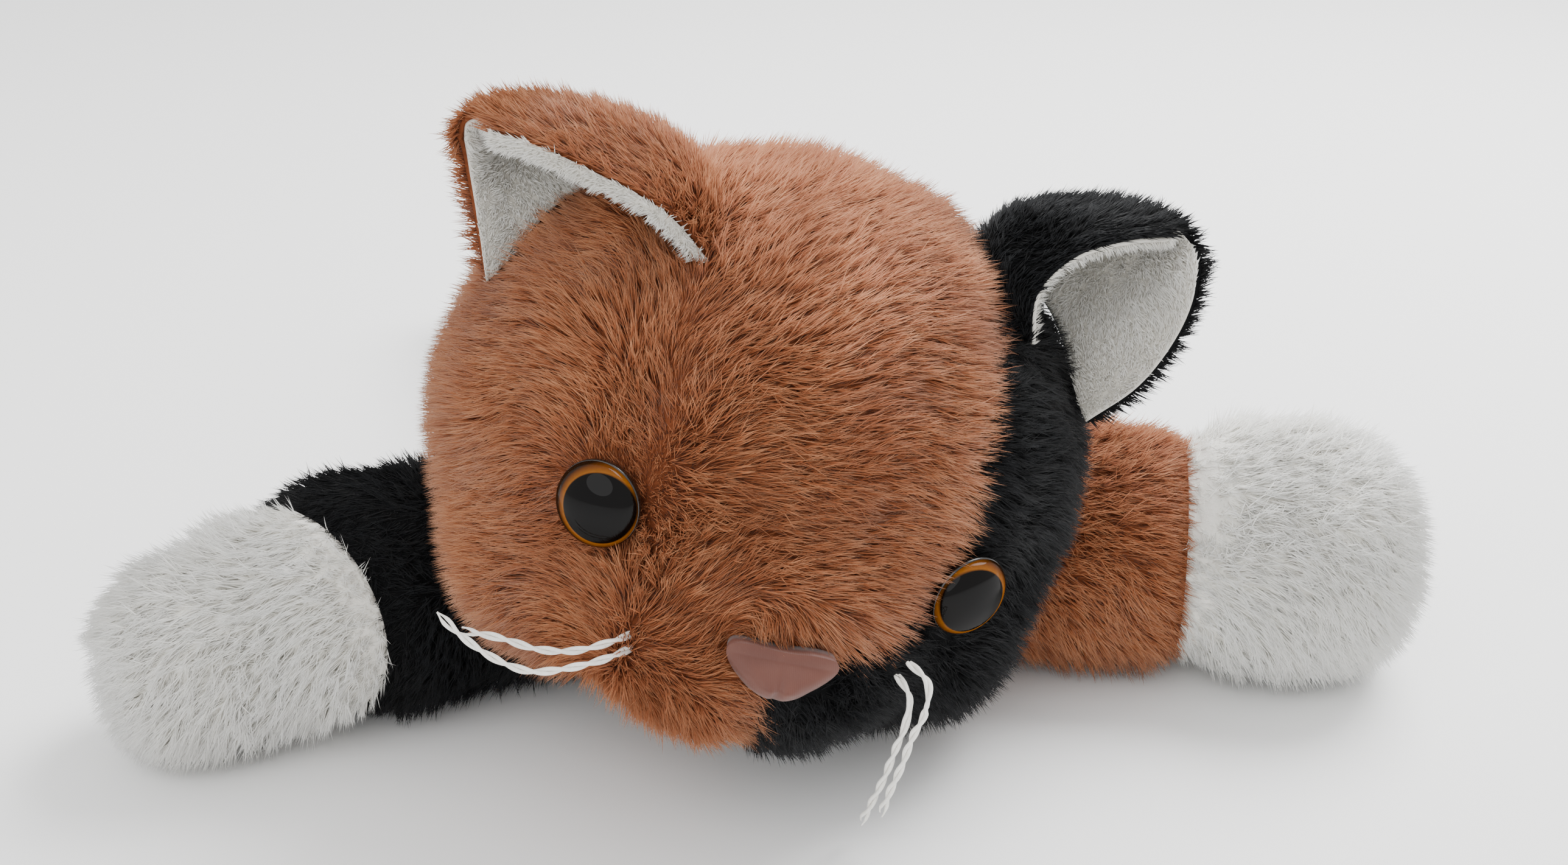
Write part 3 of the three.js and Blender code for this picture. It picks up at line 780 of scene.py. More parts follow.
    # how long they are
    size = maths("MULTIPLY", randomBetween(0.6, 1.15, 7), named("pileLength", "FLOAT"))
    shadeOfCell = nodes.new("FunctionNodeSeparateColor")
    links.new(cells.outputs["Color"], shadeOfCell.inputs[0])
    shade = maths("ADD", maths("MULTIPLY", randomBetween(0.0, 1.0, 13), 0.65),
                  maths("MULTIPLY", shadeOfCell.outputs[0], 0.35))
    tint = nodes.new("GeometryNodeStoreNamedAttribute")
    tint.data_type = "FLOAT"
    tint.domain = "POINT"
    tint.inputs["Name"].default_value = "fibreShade"
    links.new(scatter.outputs["Points"], tint.inputs["Geometry"])
    links.new(shade, tint.inputs["Value"])
    plant = nodes.new("GeometryNodeInstanceOnPoints")
    links.new(tint.outputs[0], plant.inputs["Points"])
    links.new(mark.outputs[0], plant.inputs["Instance"])
    links.new(turn.outputs[0], plant.inputs["Rotation"])
    links.new(size, plant.inputs["Scale"])
    whole = nodes.new("GeometryNodeRealizeInstances")
    links.new(plant.outputs[0], whole.inputs[0])

    # none goes through the table
    low = nodes.new("ShaderNodeSeparateXYZ")
    links.new(nodes.new("GeometryNodeInputPosition").outputs[0], low.inputs[0])
    kept = nodes.new("ShaderNodeCombineXYZ")
    links.new(low.outputs["X"], kept.inputs["X"])
    links.new(low.outputs["Y"], kept.inputs["Y"])
    links.new(maths("MAXIMUM", low.outputs["Z"], 0.0002), kept.inputs["Z"])
    lifted = nodes.new("GeometryNodeSetPosition")
    links.new(whole.outputs[0], lifted.inputs["Geometry"])
    links.new(kept.outputs[0], lifted.inputs["Position"])
    soft = nodes.new("GeometryNodeSetShadeSmooth")
    links.new(lifted.outputs[0], soft.inputs["Geometry"])
    dyed = nodes.new("GeometryNodeSetMaterial")
    links.new(soft.outputs[0], dyed.inputs["Geometry"])
    links.new(given.outputs["Pile"], dyed.inputs["Material"])
    links.new(dyed.outputs[0], result.inputs[0])
    return tree


furPile = pileTree()
socketNames = {item.name: item.identifier for item in furPile.interface.items_tree if item.in_out == "INPUT"}
pileCount = 0


def grown(panel, name, key, comb, thick, length, perSquareMm, **changes):
    # fibres over the panel: comb, thick and length are functions of its points and normals
    global pileCount
    pileCount += 1
    settings = {**pileSettings, **changes}
    p, n = corners(panel.data), normalsOf(panel.data)
    holder = bpy.data.objects.new(name, panel.data.copy())
    bpy.context.scene.collection.objects.link(holder)
    tag(holder.data, "comb", "FLOAT_VECTOR", comb(p, n))
    tag(holder.data, "thick", "FLOAT", np.clip(thick(p, n), 0, 1))
    tag(holder.data, "pileLength", "FLOAT", length(p, n))
    sow = holder.modifiers.new("pile", "NODES")
    sow.node_group = furPile
    for label, value in (("Fibres per m2", perSquareMm * 1e6), ("Fibre length", settings["fibreLength"] * mm),
                         ("Fibre radius", settings["fibreRadius"] * mm), ("Lean", settings["lean"]), ("Wander", settings["wander"]),
                         ("Clumping", settings["clumping"]), ("Clump size", settings["clumpSize"] * mm),
                         ("Seed", 100 + pileCount), ("Pile", pileMaterials[key])):
        sow[socketNames[label]] = value
    applied(holder)
    print(name, len(holder.data.polygons), "faces")
    return holder


def ones(p, n):
    return np.ones(len(p))



# ---- head ----
headPile = {
    "gussetFibres": 5.6, "sideFibres": 5.4, "blackFibres": 4.8,    # for each square millimetre
    "eyeClearing": 6.6,      # no pile grows closer to an eye's middle
    "parting": -24.0,        # the nap parts along this line down the brow
}
eyeSettings = {
    "places": {"Right": (-31.6, -0.4), "Left": (34, -4.4)},
    "radius": 7.5, "dome": 4.6, "pupilShare": 0.82,
    "pupilShift": (1.5, 0.5),       # how far the pupil sits inward and up from the dome's middle
}
noseSettings = {"x": 1.5, "width": 20, "height": 9.5, "thick": 4.5, "z": -15}


def gussetLevel(q):
    # above zero inside the head's middle panel, in the head's own frame
    q = np.asarray(q, float)
    outline = np.array(headSettings["gusset"], float)
    half = np.interp(q[..., 2], outline[:, 1], outline[:, 0])
    return np.minimum(half - np.abs(q[..., 0]), q[..., 2] + 13.5)


def headSeams(p):
    q = catToHead(p)
    level = gussetLevel(q)
    return np.where(level > 0, level, np.minimum(-level, np.abs(q[..., 0])))


def clearOfEye(q, side):
    # the middle panel's pile hangs over the near rim of the left eye
    return np.ones(len(q)) if side == "Right" else np.clip((q[:, 0] - 27) / 2, 0, 1)


def headComb(p, n):
    # the nap runs across the face to the cat's left, up at first and then down
    q = catToHead(p)
    x, y, z = q[:, 0], q[:, 1], q[:, 2]
    parting = headPile["parting"]
    turned = np.interp(x, [parting - 22, parting - 2, parting + 3], [-0.9, -0.3, 1.0])
    rise = np.interp(x, [-50, -30, -10, 12, 34], [-0.5, 0.5, 0.45, 0.0, -0.6])
    flow = np.stack([turned, np.full_like(x, 0.15), rise], 1)
    muzzle = np.clip(1 - np.linalg.norm((q - [0, -60, -16]) / [26, 30, 16], axis=1), 0, 1)[:, None] ** 0.5
    outward = unit(np.stack([x + 4, np.zeros_like(x), z + 10], 1))
    flow = flow * (1 - 0.4 * muzzle) + outward * 0.5 * muzzle
    swirl = np.array([noise.noise_vector(Vector(v) * 0.055) for v in q])
    flow = flow + swirl * 0.6
    back = np.clip((y - 5) / 25, 0, 1)[:, None]
    flow = flow * (1 - back) + np.array([0, 0.3, -1.0]) * back
    for side, place in eyeSettings["places"].items():
        away = q - faceAt(*place)
        near = (np.exp(-(np.linalg.norm(away, axis=1) / 10) ** 2) * clearOfEye(q, side))[:, None]
        flow = flow * (1 - 0.75 * near) + unit(away) * near
    aboveNose = faceAt(noseSettings["x"], noseSettings["z"] + 8)
    over = np.exp(-(np.linalg.norm((q - aboveNose) / [11, 8, 5], axis=1)) ** 2)[:, None]
    flow = flow * (1 - over) + np.array([0.1, 0, -1.0]) * over
    laid = turnWithHead(flow)
    inward = np.minimum((laid * n).sum(1), 0)
    return laid - n * inward[:, None]


def headLength(p, n):
    q = catToHead(p)
    length = np.full(len(q), 1.0)
    for side, place in eyeSettings["places"].items():
        shorter = 1 - np.clip(np.linalg.norm(q - faceAt(*place), axis=1) / 13, 0.45, 1)
        length *= 1 - shorter * clearOfEye(q, side)
    tip = faceAt(noseSettings["x"], noseSettings["z"])
    length *= np.clip(np.linalg.norm((q - tip) / [1.3, 1, 1], axis=1) / 12, 0.7, 1)
    brow = (q[:, 2] > 4) & (q[:, 1] < -10)
    length *= np.where(brow, np.clip(0.5 + np.abs(q[:, 0] - headPile["parting"]) / 7, 0.5, 1), 1)
    return length * np.where(roomLeft(p) < 3.5, 0.5, 1.0)


def headThick(p, n):
    q = catToHead(p)
    thick = np.ones(len(q))
    for place in eyeSettings["places"].values():
        thick *= np.linalg.norm(q - faceAt(*place), axis=1) > headPile["eyeClearing"]
    across, up = (q[:, 0] - noseSettings["x"]) / 9.2, (q[:, 2] - noseSettings["z"] + 1.9) / 2.8
    thick *= ~((across**2 + up**2 < 1) & (q[:, 1] < -30))
    return thick * np.where(roomLeft(p) < 2.4, 0.35, 1.0)


def addHead():
    whole = headForm("headForm", shrink=0.2)
    whole = sewn(stuffed(whole, headSeams, cap=4.0), headSeams, 2.2, 4.2)
    made = panels(
        whole,
        [lambda p: gussetLevel(catToHead(p)), lambda p: catToHead(p)[0]],
        {
            "headGusset": lambda p: gussetLevel(catToHead(p)) > 0,
            "headRight": lambda p: gussetLevel(catToHead(p)) <= 0 and catToHead(p)[0] < 0,
            "headLeft": lambda p: gussetLevel(catToHead(p)) <= 0 and catToHead(p)[0] >= 0,
        },
    )
    plans = {
        "headGusset": ("orange", headPile["gussetFibres"], ("head_gusset", "head_stuffing"), {}),
        "headRight": ("orange", headPile["sideFibres"], ("head_panel_right",), {}),
        "headLeft": ("black", headPile["blackFibres"], ("head_panel_left",),
                     {"fibreLength": 5.0, "wander": 0.9, "clumping": 0.6}),
    }
    for name, (key, count, nodes, changes) in plans.items():
        panel = made[name]
        pile = grown(panel, name + "Pile", key, headComb, headThick, headLength, count, **changes)
        finishPanel(panel, pile, key, "head", nodes)
    print("head ready")


def finishPanel(panel, pile, key, body, nodes):
    # the cloth backing and its pile ride together and stand for their CAD nodes
    thickened(panel)
    panel.data.materials.clear()
    panel.data.materials.append(backingMaterials[key])
    for piece in (panel, pile):
        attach(piece, body)
    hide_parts(*nodes)


# ---- legs ----
legPile = {"sleeveFibres": 3.8, "pawFibres": 5.2, "hindSleeveFibres": 2.4, "hindPawFibres": 2.8}


def legValue(front, left):
    # distance beyond the paw's seam, measured along the leg
    root, out = legRoot(front, left), legDirection(front, left)
    scale = legShape(front, left)["long"]
    middle = root + out * legSettings["pawSeam"] * scale
    slant = Matrix.Rotation(math.radians(legShape(front, left)["slant"]), 3, "Z")
    facing = np.array(slant @ Vector(out))
    return lambda p: (np.asarray(p, float) - middle) @ facing


def addLeg(front, left):
    name = ("front" if front else "hind") + ("Left" if left else "Right")
    node = ("front" if front else "hind") + "_leg_" + ("left" if left else "right")
    sleeveKey = "orange" if front == left else "black"
    root, out = legRoot(front, left), legDirection(front, left)
    scale = legShape(front, left)["long"]
    beyond = legValue(front, left)
    whole = stuffedTube(name + "Form", legStations(front, left), shrink=0.8)
    seams = lambda p: np.abs(beyond(p))
    whole = sewn(stuffed(whole, seams, cap=3.5), seams, 1.6, 3.0)
    made = panels(whole, [beyond], {
        name + "Sleeve": lambda p: beyond(p) < 0,
        name + "Paw": lambda p: beyond(p) >= 0,
    })

    def comb(p, n):
        away = p - root
        along = away @ out
        radial = away - np.outer(along, out)
        tip = np.clip((along - 62 * scale) / (24 * scale), 0, 1)[:, None]
        return out * (1 - 0.5 * tip) + unit(radial) * 0.25 + np.array([0, 0, -0.35]) * (1 + tip)

    def thick(p, n):
        hidden = (torsoClearance(p) < -1.0) | (p[:, 2] < 1.2)
        return np.where(hidden, 0.0, 1.0)

    def length(p, n):
        near = np.clip(seams(p) / 7, 0.6, 1)
        return near * np.where(p[:, 2] < 5, 0.6, 1.0)

    body = node
    sleeveCount = legPile["sleeveFibres" if front else "hindSleeveFibres"]
    pawCount = legPile["pawFibres" if front else "hindPawFibres"]
    sleeveLook = {"fibreLength": 5.0, "wander": 0.9, "clumping": 0.6} if sleeveKey == "black" else {}
    sleeve, paw = made[name + "Sleeve"], made[name + "Paw"]
    pile = grown(sleeve, name + "SleevePile", sleeveKey, comb, thick, length, sleeveCount, **sleeveLook)
    finishPanel(sleeve, pile, sleeveKey, body, (node + "_sleeve", node + "_stuffing"))
    pile = grown(paw, name + "PawPile", "white", comb, thick, length, pawCount, fibreLength=6.4, clumping=0.6)
    finishPanel(paw, pile, "white", body, (node + "_paw",))


# ---- torso, neck and tail ----
torsoPile = {"backFibres": 3.4, "bellyFibres": 1.4, "neckFibres": 3.0, "tailFibres": 4.0}
beltHeight = 12.0        # the belly panel's seam


def limbBalls():
    rows = [(legRoot(front, left), legSettings["frontRadius" if front else "hindRadius"])
            for front in (True, False) for left in (True, False)]
    return rows + [(np.array([0, 70, 26.0]), 9.0)]


def dented(piece, room=0.8):
    # a cup in the fabric round each limb's root
    p, n = corners(piece.data), normalsOf(piece.data)
    for centre, radius in limbBalls():
        w = p - centre
        reach = radius + room
        inside = (w**2).sum(1) < reach**2
        b = (w * n).sum(1)
        t = b + np.sqrt(np.maximum(b * b - (w**2).sum(1) + reach**2, 0))
        p = np.where(inside[:, None], p - n * t[:, None], p)
    p[:, 2] = np.maximum(p[:, 2], 0.6)
    setCorners(piece.data, p)
    return piece


def torsoSeams(p):
    belt = np.abs(p[:, 2] - beltHeight)
    return np.where(p[:, 2] > beltHeight, np.minimum(belt, np.abs(p[:, 0])), belt)


def addTorso():
    whole = stuffedTube("torsoForm", torsoStations, rings=60, sides=48, shrink=1.5)
    whole = sewn(stuffed(whole, torsoSeams, cap=4.0), torsoSeams, 1.2, 3.5)
    dented(whole)
    made = panels(whole, [lambda p: p[2] - beltHeight, lambda p: p[0]], {
        "belly": lambda p: p[2] <= beltHeight,
        "backRight": lambda p: p[2] > beltHeight and p[0] < 0,
        "backLeft": lambda p: p[2] > beltHeight and p[0] >= 0,
    })

    def comb(p, n):
        return np.stack([p[:, 0] * 0.012, np.full(len(p), 1.0), np.full(len(p), -0.25)], 1)

    def thick(p, n):
        buried = p[:, 2] < 1.2
        for centre, radius in limbBalls():
            buried |= np.linalg.norm(p - centre, axis=1) < radius + 1.5
        q = catToHead(p)
        buried |= np.linalg.norm(q, axis=1) < headReach(unit(q)) - 1
        return np.where(buried, 0.0, 1.0)

    def length(p, n):
        return np.where(p[:, 2] < 5, 0.6, 1.0)

    short = {"fibreLength": 6.5, "wander": 0.7}
    for name, key, count, nodes in (
        ("belly", "white", torsoPile["bellyFibres"], ("belly_panel", "torso_stuffing")),
        ("backRight", "orange", torsoPile["backFibres"], ("back_panel_right",)),
        ("backLeft", "black", torsoPile["backFibres"], ("back_panel_left",)),
    ):
        pile = grown(made[name], name + "Pile", key, comb, thick, length, count, **short)
        finishPanel(made[name], pile, key, "torso", nodes)
    print("torso ready")


def addNeck():
    bm = bmesh.new()
    bmesh.ops.create_icosphere(bm, subdivisions=4, radius=(neckSettings["radius"] - 1.2) * mm)
    bmesh.ops.translate(bm, verts=bm.verts, vec=Vector(neckSettings["centre"]) * mm)
    outside = [f for f in bm.faces
               if torsoClearance(np.array([f.calc_center_median()]) / mm)[0] < -0.5]
    bmesh.ops.delete(bm, geom=outside, context="FACES")
    mesh = bpy.data.meshes.new("neckCollar")
    bm.to_mesh(mesh)
    bm.free()
    mesh.shade_smooth()
    collar = bpy.data.objects.new("neckCollar", mesh)
    bpy.context.scene.collection.objects.link(collar)

    def thick(p, n):
        q = catToHead(p)
        return np.where(np.linalg.norm(q, axis=1) > headReach(unit(q)) - 2, 1.0, 0.0)

    pile = grown(collar, "neckCollarPile", "orange", lambda p, n: np.tile([0, 1.0, -0.3], (len(p), 1)),
                 thick, ones, torsoPile["neckFibres"], fibreLength=5.0)
    finishPanel(collar, pile, "orange", "torso", ("neck_collar", "neck_stuffing"))


def addTail():
    seam = 114.0
    whole = stuffedTube("tailForm", tailStations, rings=40, sides=24, shrink=1.0)
    seams = lambda p: np.abs(p[:, 1] - seam)
    whole = sewn(stuffed(whole, seams, voxel=3.0, cap=2.0), seams, 0.8, 2.5)
    made = panels(whole, [lambda p: p[1] - seam], {
        "tailBase": lambda p: p[1] < seam,
        "tailTip": lambda p: p[1] >= seam,
    })

    def comb(p, n):
        return np.stack([np.zeros(len(p)), np.full(len(p), 1.0), np.full(len(p), -0.1)], 1)

    def thick(p, n):
        return np.where((torsoClearance(p) < -0.5) | (p[:, 2] < 0.9), 0.0, 1.0)

    for name, key, nodes in (("tailBase", "black", ("tail_base", "tail_stuffing")),
                             ("tailTip", "white", ("tail_tip",))):
        pile = grown(made[name], name + "Pile", key, comb, thick, ones, torsoPile["tailFibres"],
                     fibreLength=5.5)
        finishPanel(made[name], pile, key, "tail", nodes)
    print("tail ready")


# ---- ears ----
# Rows run from the base to the tip, and each row from the inner edge round the back to the outer edge.
earRows = {
    "right": [
        [(-25, -31, 34), (-21, -17, 43), (-28, -3, 46), (-45, 1, 37), (-57, -7, 20)],
        [(-35, -32, 40.5), (-28, -17, 49), (-34, 1, 49.5), (-51, 4, 41), (-60, -5, 28)],
        [(-47, -30, 45), (-42, -16, 51.5), (-47, 2, 51), (-57, 4, 45.5), (-63, -4, 36)],
        [(-57, -25, 47), (-54, -13, 51.5), (-57, -2, 51), (-62, -1, 48), (-65, -6, 42)],
        [(-61, -19, 48), (-62, -14, 49.5), (-64, -10, 49.5), (-66, -9, 48), (-66, -9, 45)],
    ],
    "left": [
        [(38, -22, 36), (30, -10, 43), (34, 3, 44), (48, 3, 34), (55, -14, 21)],
        [(37, -19, 44), (30, -6, 47.5), (36, 4, 50), (52, 3, 40), (61, -17, 31)],
        [(42, -17, 51.5), (36, -5, 53), (42, 2, 54.5), (57, 1, 46.5), (64.5, -17, 41)],
        [(51, -15, 56), (49, -6, 57.5), (53, -2, 57.5), (61, -3, 53), (66, -15, 48.5)],
        [(59, -13, 58), (60, -10, 58.5), (62, -8, 58.5), (65, -9, 56.5), (66, -12, 54)],
    ],
}
earSettings = {
    "outer": 1.6, "lining": -1.3, "outerSkin": 1.1, "liningSkin": 0.9,
    "across": 44, "along": 34, "edgeRoll": 0.9,
    "turnedColumns": 5, "turnedRadius": 1.5,      # the folded ear's lining rolls out over its front edge
    "outerFibres": 6.5, "liningFibres": 10.0,
}


def earGrid(rows, across, along):
    u, v = np.linspace(0, 1, across), np.linspace(0, 1, along)
    lines = np.stack([alongLine(row, u) for row in rows])
    return np.stack([alongLine(lines[:, i], v) for i in range(across)], 1)


def addEar(side):
    settings = earSettings
    rows = earRows[side]
    grid = earGrid(rows, settings["across"], settings["along"])
    du, dv = np.gradient(grid, axis=1), np.gradient(grid, axis=0)
    normal = unit(np.cross(du, dv))
    backOf = grid[10, settings["across"] // 2] - (grid[10, 0] + grid[10, -1]) / 2
    if (normal[10, settings["across"] // 2] * backOf).sum() < 0:
        normal = -normal
    roll = np.zeros(grid.shape[:2])
    roll[:, [0, -1]] = settings["edgeRoll"]
    roll[:, [1, -2]] = settings["edgeRoll"] * 0.35
    roll[-1] = settings["edgeRoll"]
    count, lines = settings["across"], settings["along"]
    faces = [(j * count + i, j * count + i + 1, (j + 1) * count + i + 1, (j + 1) * count + i)
             for j in range(lines - 1) for i in range(count - 1)]
    key = "orange" if side == "right" else "black"
    rolled = settings["turnedColumns"] if side == "right" else 0
    body = "ear_" + side
    layers = (
        ("Outer", key, settings["outer"] - roll, 1, settings["outerSkin"], settings["outerFibres"], "_outer",
         {"fibreLength": 4.6 if key == "orange" else 3.6, "lean": 0.62,
          "wander": 0.5 if key == "orange" else 0.8}),
        ("Lining", "lining", settings["lining"] + roll, -1, settings["liningSkin"], settings["liningFibres"],
         "_lining", {"fibreLength": 2.0, "fibreRadius": 0.14, "lean": 0.35, "wander": 0.9, "clumpSize": 2.2}),
    )
    for part, colour, offset, facing, skin, fibres, suffix, changes in layers:
        points = grid + normal * offset[..., None]
        shown = [f for f in faces if f[0] % count >= (rolled if part == "Outer" else 0)]
        if part == "Lining":
            for i in range(rolled):
                turn = (rolled - i) / rolled * math.pi * 0.85
                edgeward = unit(points[:, rolled] - points[:, rolled + 1])
                points[:, i] = points[:, rolled] + settings["turnedRadius"] * (
                    edgeward * math.sin(turn) + normal[:, rolled] * (1 - math.cos(turn)))
        layer = meshFrom("ear" + side.capitalize() + part, headToCat(points.reshape(-1, 3)), shown)
        wanted = turnWithHead(normal.reshape(-1, 3)) * facing
        if (normalsOf(layer.data) * wanted).sum() < 0:
            layer.data.flip_normals()
        flow = unit(dv) * 1.0 + normal * 0.1 * facing
        if part == "Outer":
            edge = np.linspace(-1, 1, count)[None, :, None]
            flow = flow + unit(du) * edge**3 * 0.9
        flow = turnWithHead(flow.reshape(-1, 3))
        reach = headReach(unit(points.reshape(-1, 3))).reshape(points.shape[:2])
        buried = np.linalg.norm(points, axis=-1) < reach - 1
        thick = np.where(buried, 0.0, 1.0).ravel()
        pile = grown(layer, layer.name + "Pile", colour, lambda p, n, f=flow: f,
                     lambda p, n, t=thick: t, ones, fibres, **changes)
        thickened(layer, skin)
        layer.data.materials.clear()
        layer.data.materials.append(backingMaterials[colour])
        for piece in (layer, pile):
            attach(piece, body)
        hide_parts(body + suffix)
    print("ear ready:", side)


# ---- eyes ----
def turnedPiece(name, profile, place, axis, sides=48, close=True):
    # profile is [radius, height] from the axis outwards or back to it, in millimetres
    side = unit(np.cross([0, 0, 1.0], axis))
    up = np.cross(axis, side)
    angle = np.arange(sides) / sides * 2 * math.pi
    ring = np.cos(angle)[:, None] * side + np.sin(angle)[:, None] * up
    points, faces, starts = [], [], []
    for r, h in profile:
        starts.append((len(points), r < 1e-6))
        if r < 1e-6:
            points.append(place + axis * h)
        else:
            points.extend(place + axis * h + ring * r)
    for (a, aPole), (b, bPole) in zip(starts, starts[1:]):
        for j in range(sides):
            k = (j + 1) % sides
            if aPole:
                faces.append((a, b + k, b + j))
            elif bPole:
                faces.append((a + j, a + k, b))
            else:
                faces.append((a + j, a + k, b + k, b + j))
    piece = meshFrom(name, headToCat(np.array(points)), faces)
    faceOut(piece.data)
    piece.data.shade_smooth()
    return piece


def eyeMaterial():
    # a dark pupil and an amber ring under a clear glossy coat
    material = newMaterial("amberEye", linear(150, 104, 38), 0.5, Specular_IOR_Level=0.0, Coat_Weight=0.26,
                           Coat_Roughness=0.03)
    tree = material.node_tree
    shader = tree.nodes["Principled BSDF"]
    ring = node(tree, "ShaderNodeAttribute", attribute_name="irisRing").outputs["Fac"]
    ramp = tree.nodes.new("ShaderNodeValToRGB")
    share = eyeSettings["pupilShare"]
    stops = [(0.0, linear(4, 4, 5)), (share - 0.015, linear(5, 4, 4)), (share + 0.015, linear(132, 78, 22)),
             (0.93, linear(96, 52, 14)), (1.0, linear(30, 16, 6))]
    ramp.color_ramp.elements[0].position, ramp.color_ramp.elements[1].position = stops[0][0], stops[-1][0]
    ramp.color_ramp.elements[0].color, ramp.color_ramp.elements[1].color = (*stops[0][1], 1), (*stops[-1][1], 1)
    for position, colour in stops[1:-1]:
        ramp.color_ramp.elements.new(position).color = (*colour, 1)
    tree.links.new(ring, ramp.inputs[0])
    place = node(tree, "ShaderNodeTexCoord")
    fleck = node(tree, "ShaderNodeTexNoise", Scale=1400.0, Detail=2.0)
    tree.links.new(place.outputs["Object"], fleck.inputs["Vector"])
    quiet = node(tree, "ShaderNodeMath", operation="MULTIPLY")
    quiet.inputs[1].default_value = 0.3
    tree.links.new(fleck.outputs["Fac"], quiet.inputs[0])
    mixed = blendColour(tree, quiet.outputs[0], ramp.outputs[0], linear(12, 7, 4))
    tree.links.new(mixed, shader.inputs["Base Color"])
    return material


def addEyes():
    s = eyeSettings
    painted = eyeMaterial()
    rim = newMaterial("eyeBack", linear(12, 11, 10), 0.25, Coat_Weight=0.4)
    wear = node(rim.node_tree, "ShaderNodeTexNoise", Scale=700.0, Detail=3.0)
    rimPlace = node(rim.node_tree, "ShaderNodeTexCoord")
    rim.node_tree.links.new(rimPlace.outputs["Object"], wear.inputs["Vector"])
    shallow = node(rim.node_tree, "ShaderNodeBump", Strength=0.15, Distance=0.0002)
    rim.node_tree.links.new(wear.outputs["Fac"], shallow.inputs["Height"])
    rim.node_tree.links.new(shallow.outputs[0], rim.node_tree.nodes["Principled BSDF"].inputs["Normal"])
    for side, spot in s["places"].items():
        place, axis = faceAt(*spot), faceNormal(*spot)
        arc = np.linspace(0, math.pi / 2, 26)
        outside = [(s["radius"] * math.cos(a), 1.2 + (s["dome"] - 0.6) * math.sin(a)) for a in arc[:-1]]
        dome = turnedPiece("eyeDome" + side, [(0, 0.3), (s["radius"] - 0.4, 0.3), *outside,
                                              (0, 1.2 + s["dome"] - 0.6)], place, axis, 64)
        inward, upward = s["pupilShift"]
        middle = place + np.array([inward if side == "Right" else -inward, 0, upward])
        away = np.linalg.norm(np.cross(catToHead(corners(dome.data)) - middle, axis), axis=1)
        tag(dome.data, "irisRing", "FLOAT", away / s["radius"])
        dome.data.materials.append(painted)
        back = turnedPiece("eyeBack" + side, [
            (0, -9.0), (1.9, -9.0), (2.2, -8.6), (2.2, -0.6), (s["radius"] - 0.6, -0.6), (s["radius"], -0.2),
            (s["radius"] + 0.14, 0.5), (s["radius"] + 0.1, 1.05), (s["radius"] - 0.1, 1.15),
            (s["radius"] - 0.3, 0.5), (0, 0.4)], place, axis)
        back.data.materials.append(rim)
        for piece in (dome, back):
            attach(piece, "head")
        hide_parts("eye_" + side.lower())
    print("eyes ready")


# ---- nose ----
def addNose():
    s = noseSettings
    w, h = s["width"], s["height"]
    half = [(0, -0.55 * h), (0.18 * w, -0.46 * h), (0.36 * w, -0.16 * h), (0.47 * w, 0.17 * h),
            (0.44 * w, 0.37 * h), (0.27 * w, 0.42 * h), (0.1 * w, 0.39 * h), (0, 0.38 * h)]
    outline = np.array(half + [(-x, z) for x, z in half[-2:0:-1]])
    loop = np.vstack([outline, outline[:1]])
    sides, rings = 96, 22
    edge = alongLine(np.vstack([loop[-2:-1], loop, loop[1:2]]),
                     (1 + np.arange(sides) / sides * len(outline)) / (len(outline) + 2), True)
    back = faceAt(s["x"], s["z"])[1]
    points, faces = [], []

    def surface(x, z, share):
        crown = s["thick"] * (1 - share**3.2) * (1 - 0.85 * min(max((z + 1.6) / 3.6, 0), 1))
        lower = 1 / (1 + math.exp((z + 0.6) / 1.1))
        groove = 1.15 * math.exp(-(x / 0.75) ** 2) * lower * (1 - share**4)
        nostril = 0.5 * math.exp(-(((abs(x) - 4.6) / 2.0) ** 2 + ((z + 1.6) / 1.1) ** 2))
        return back + 1.6 - (crown + 0.6) + groove + nostril

    middle = np.array([0, -0.02 * h])
    points.append((0, surface(0, middle[1], 0), s["z"] + middle[1]))
    for i in range(1, rings + 1):
        share = math.sin(i / rings * math.pi / 2)
        for x, z in middle + (edge - middle) * share:
            points.append((x, surface(x, z, share), s["z"] + z))
    for x, z in edge * 0.96:
        points.append((x, back + 4.0, s["z"] + z))
    points.append((0, back + 4.0, s["z"]))
    for j in range(sides):
        k = (j + 1) % sides
        faces.append((0, 1 + j, 1 + k))
        for i in range(rings):
            a, b = 1 + i * sides, 1 + (i + 1) * sides
            faces.append((a + j, b + j, b + k, a + k))
        faces.append((1 + rings * sides + j, len(points) - 1, 1 + rings * sides + k))
    piece = meshFrom("noseSatin", headToCat(np.array(points) + [s["x"], 0, 0]), faces)
    faceOut(piece.data)
    piece.data.shade_smooth()
    satin = newMaterial("dustyPinkSatin", linear(134, 84, 70), 0.5)
    tree = satin.node_tree
    shader = tree.nodes["Principled BSDF"]
    shader.inputs["Sheen Weight"].default_value = 0.15
    shader.inputs["Specular IOR Level"].default_value = 0.35
    place = node(tree, "ShaderNodeTexCoord")
    weave = node(tree, "ShaderNodeTexWave", Scale=900.0, Distortion=1.2, Detail=2.0)
    tree.links.new(place.outputs["Object"], weave.inputs["Vector"])
    rub = node(tree, "ShaderNodeTexNoise", Scale=180.0, Detail=4.0)
    tree.links.new(place.outputs["Object"], rub.inputs["Vector"])
    tree.links.new(blendColour(tree, rub.outputs["Fac"], linear(78, 42, 33), linear(98, 57, 45)),
                   shader.inputs["Base Color"])
    bump = node(tree, "ShaderNodeBump", Strength=0.18, Distance=0.0001)
    tree.links.new(weave.outputs["Fac"], bump.inputs["Height"])
    tree.links.new(bump.outputs[0], shader.inputs["Normal"])
    piece.data.materials.append(satin)
    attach(piece, "head")
    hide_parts("nose")
    print("nose ready")


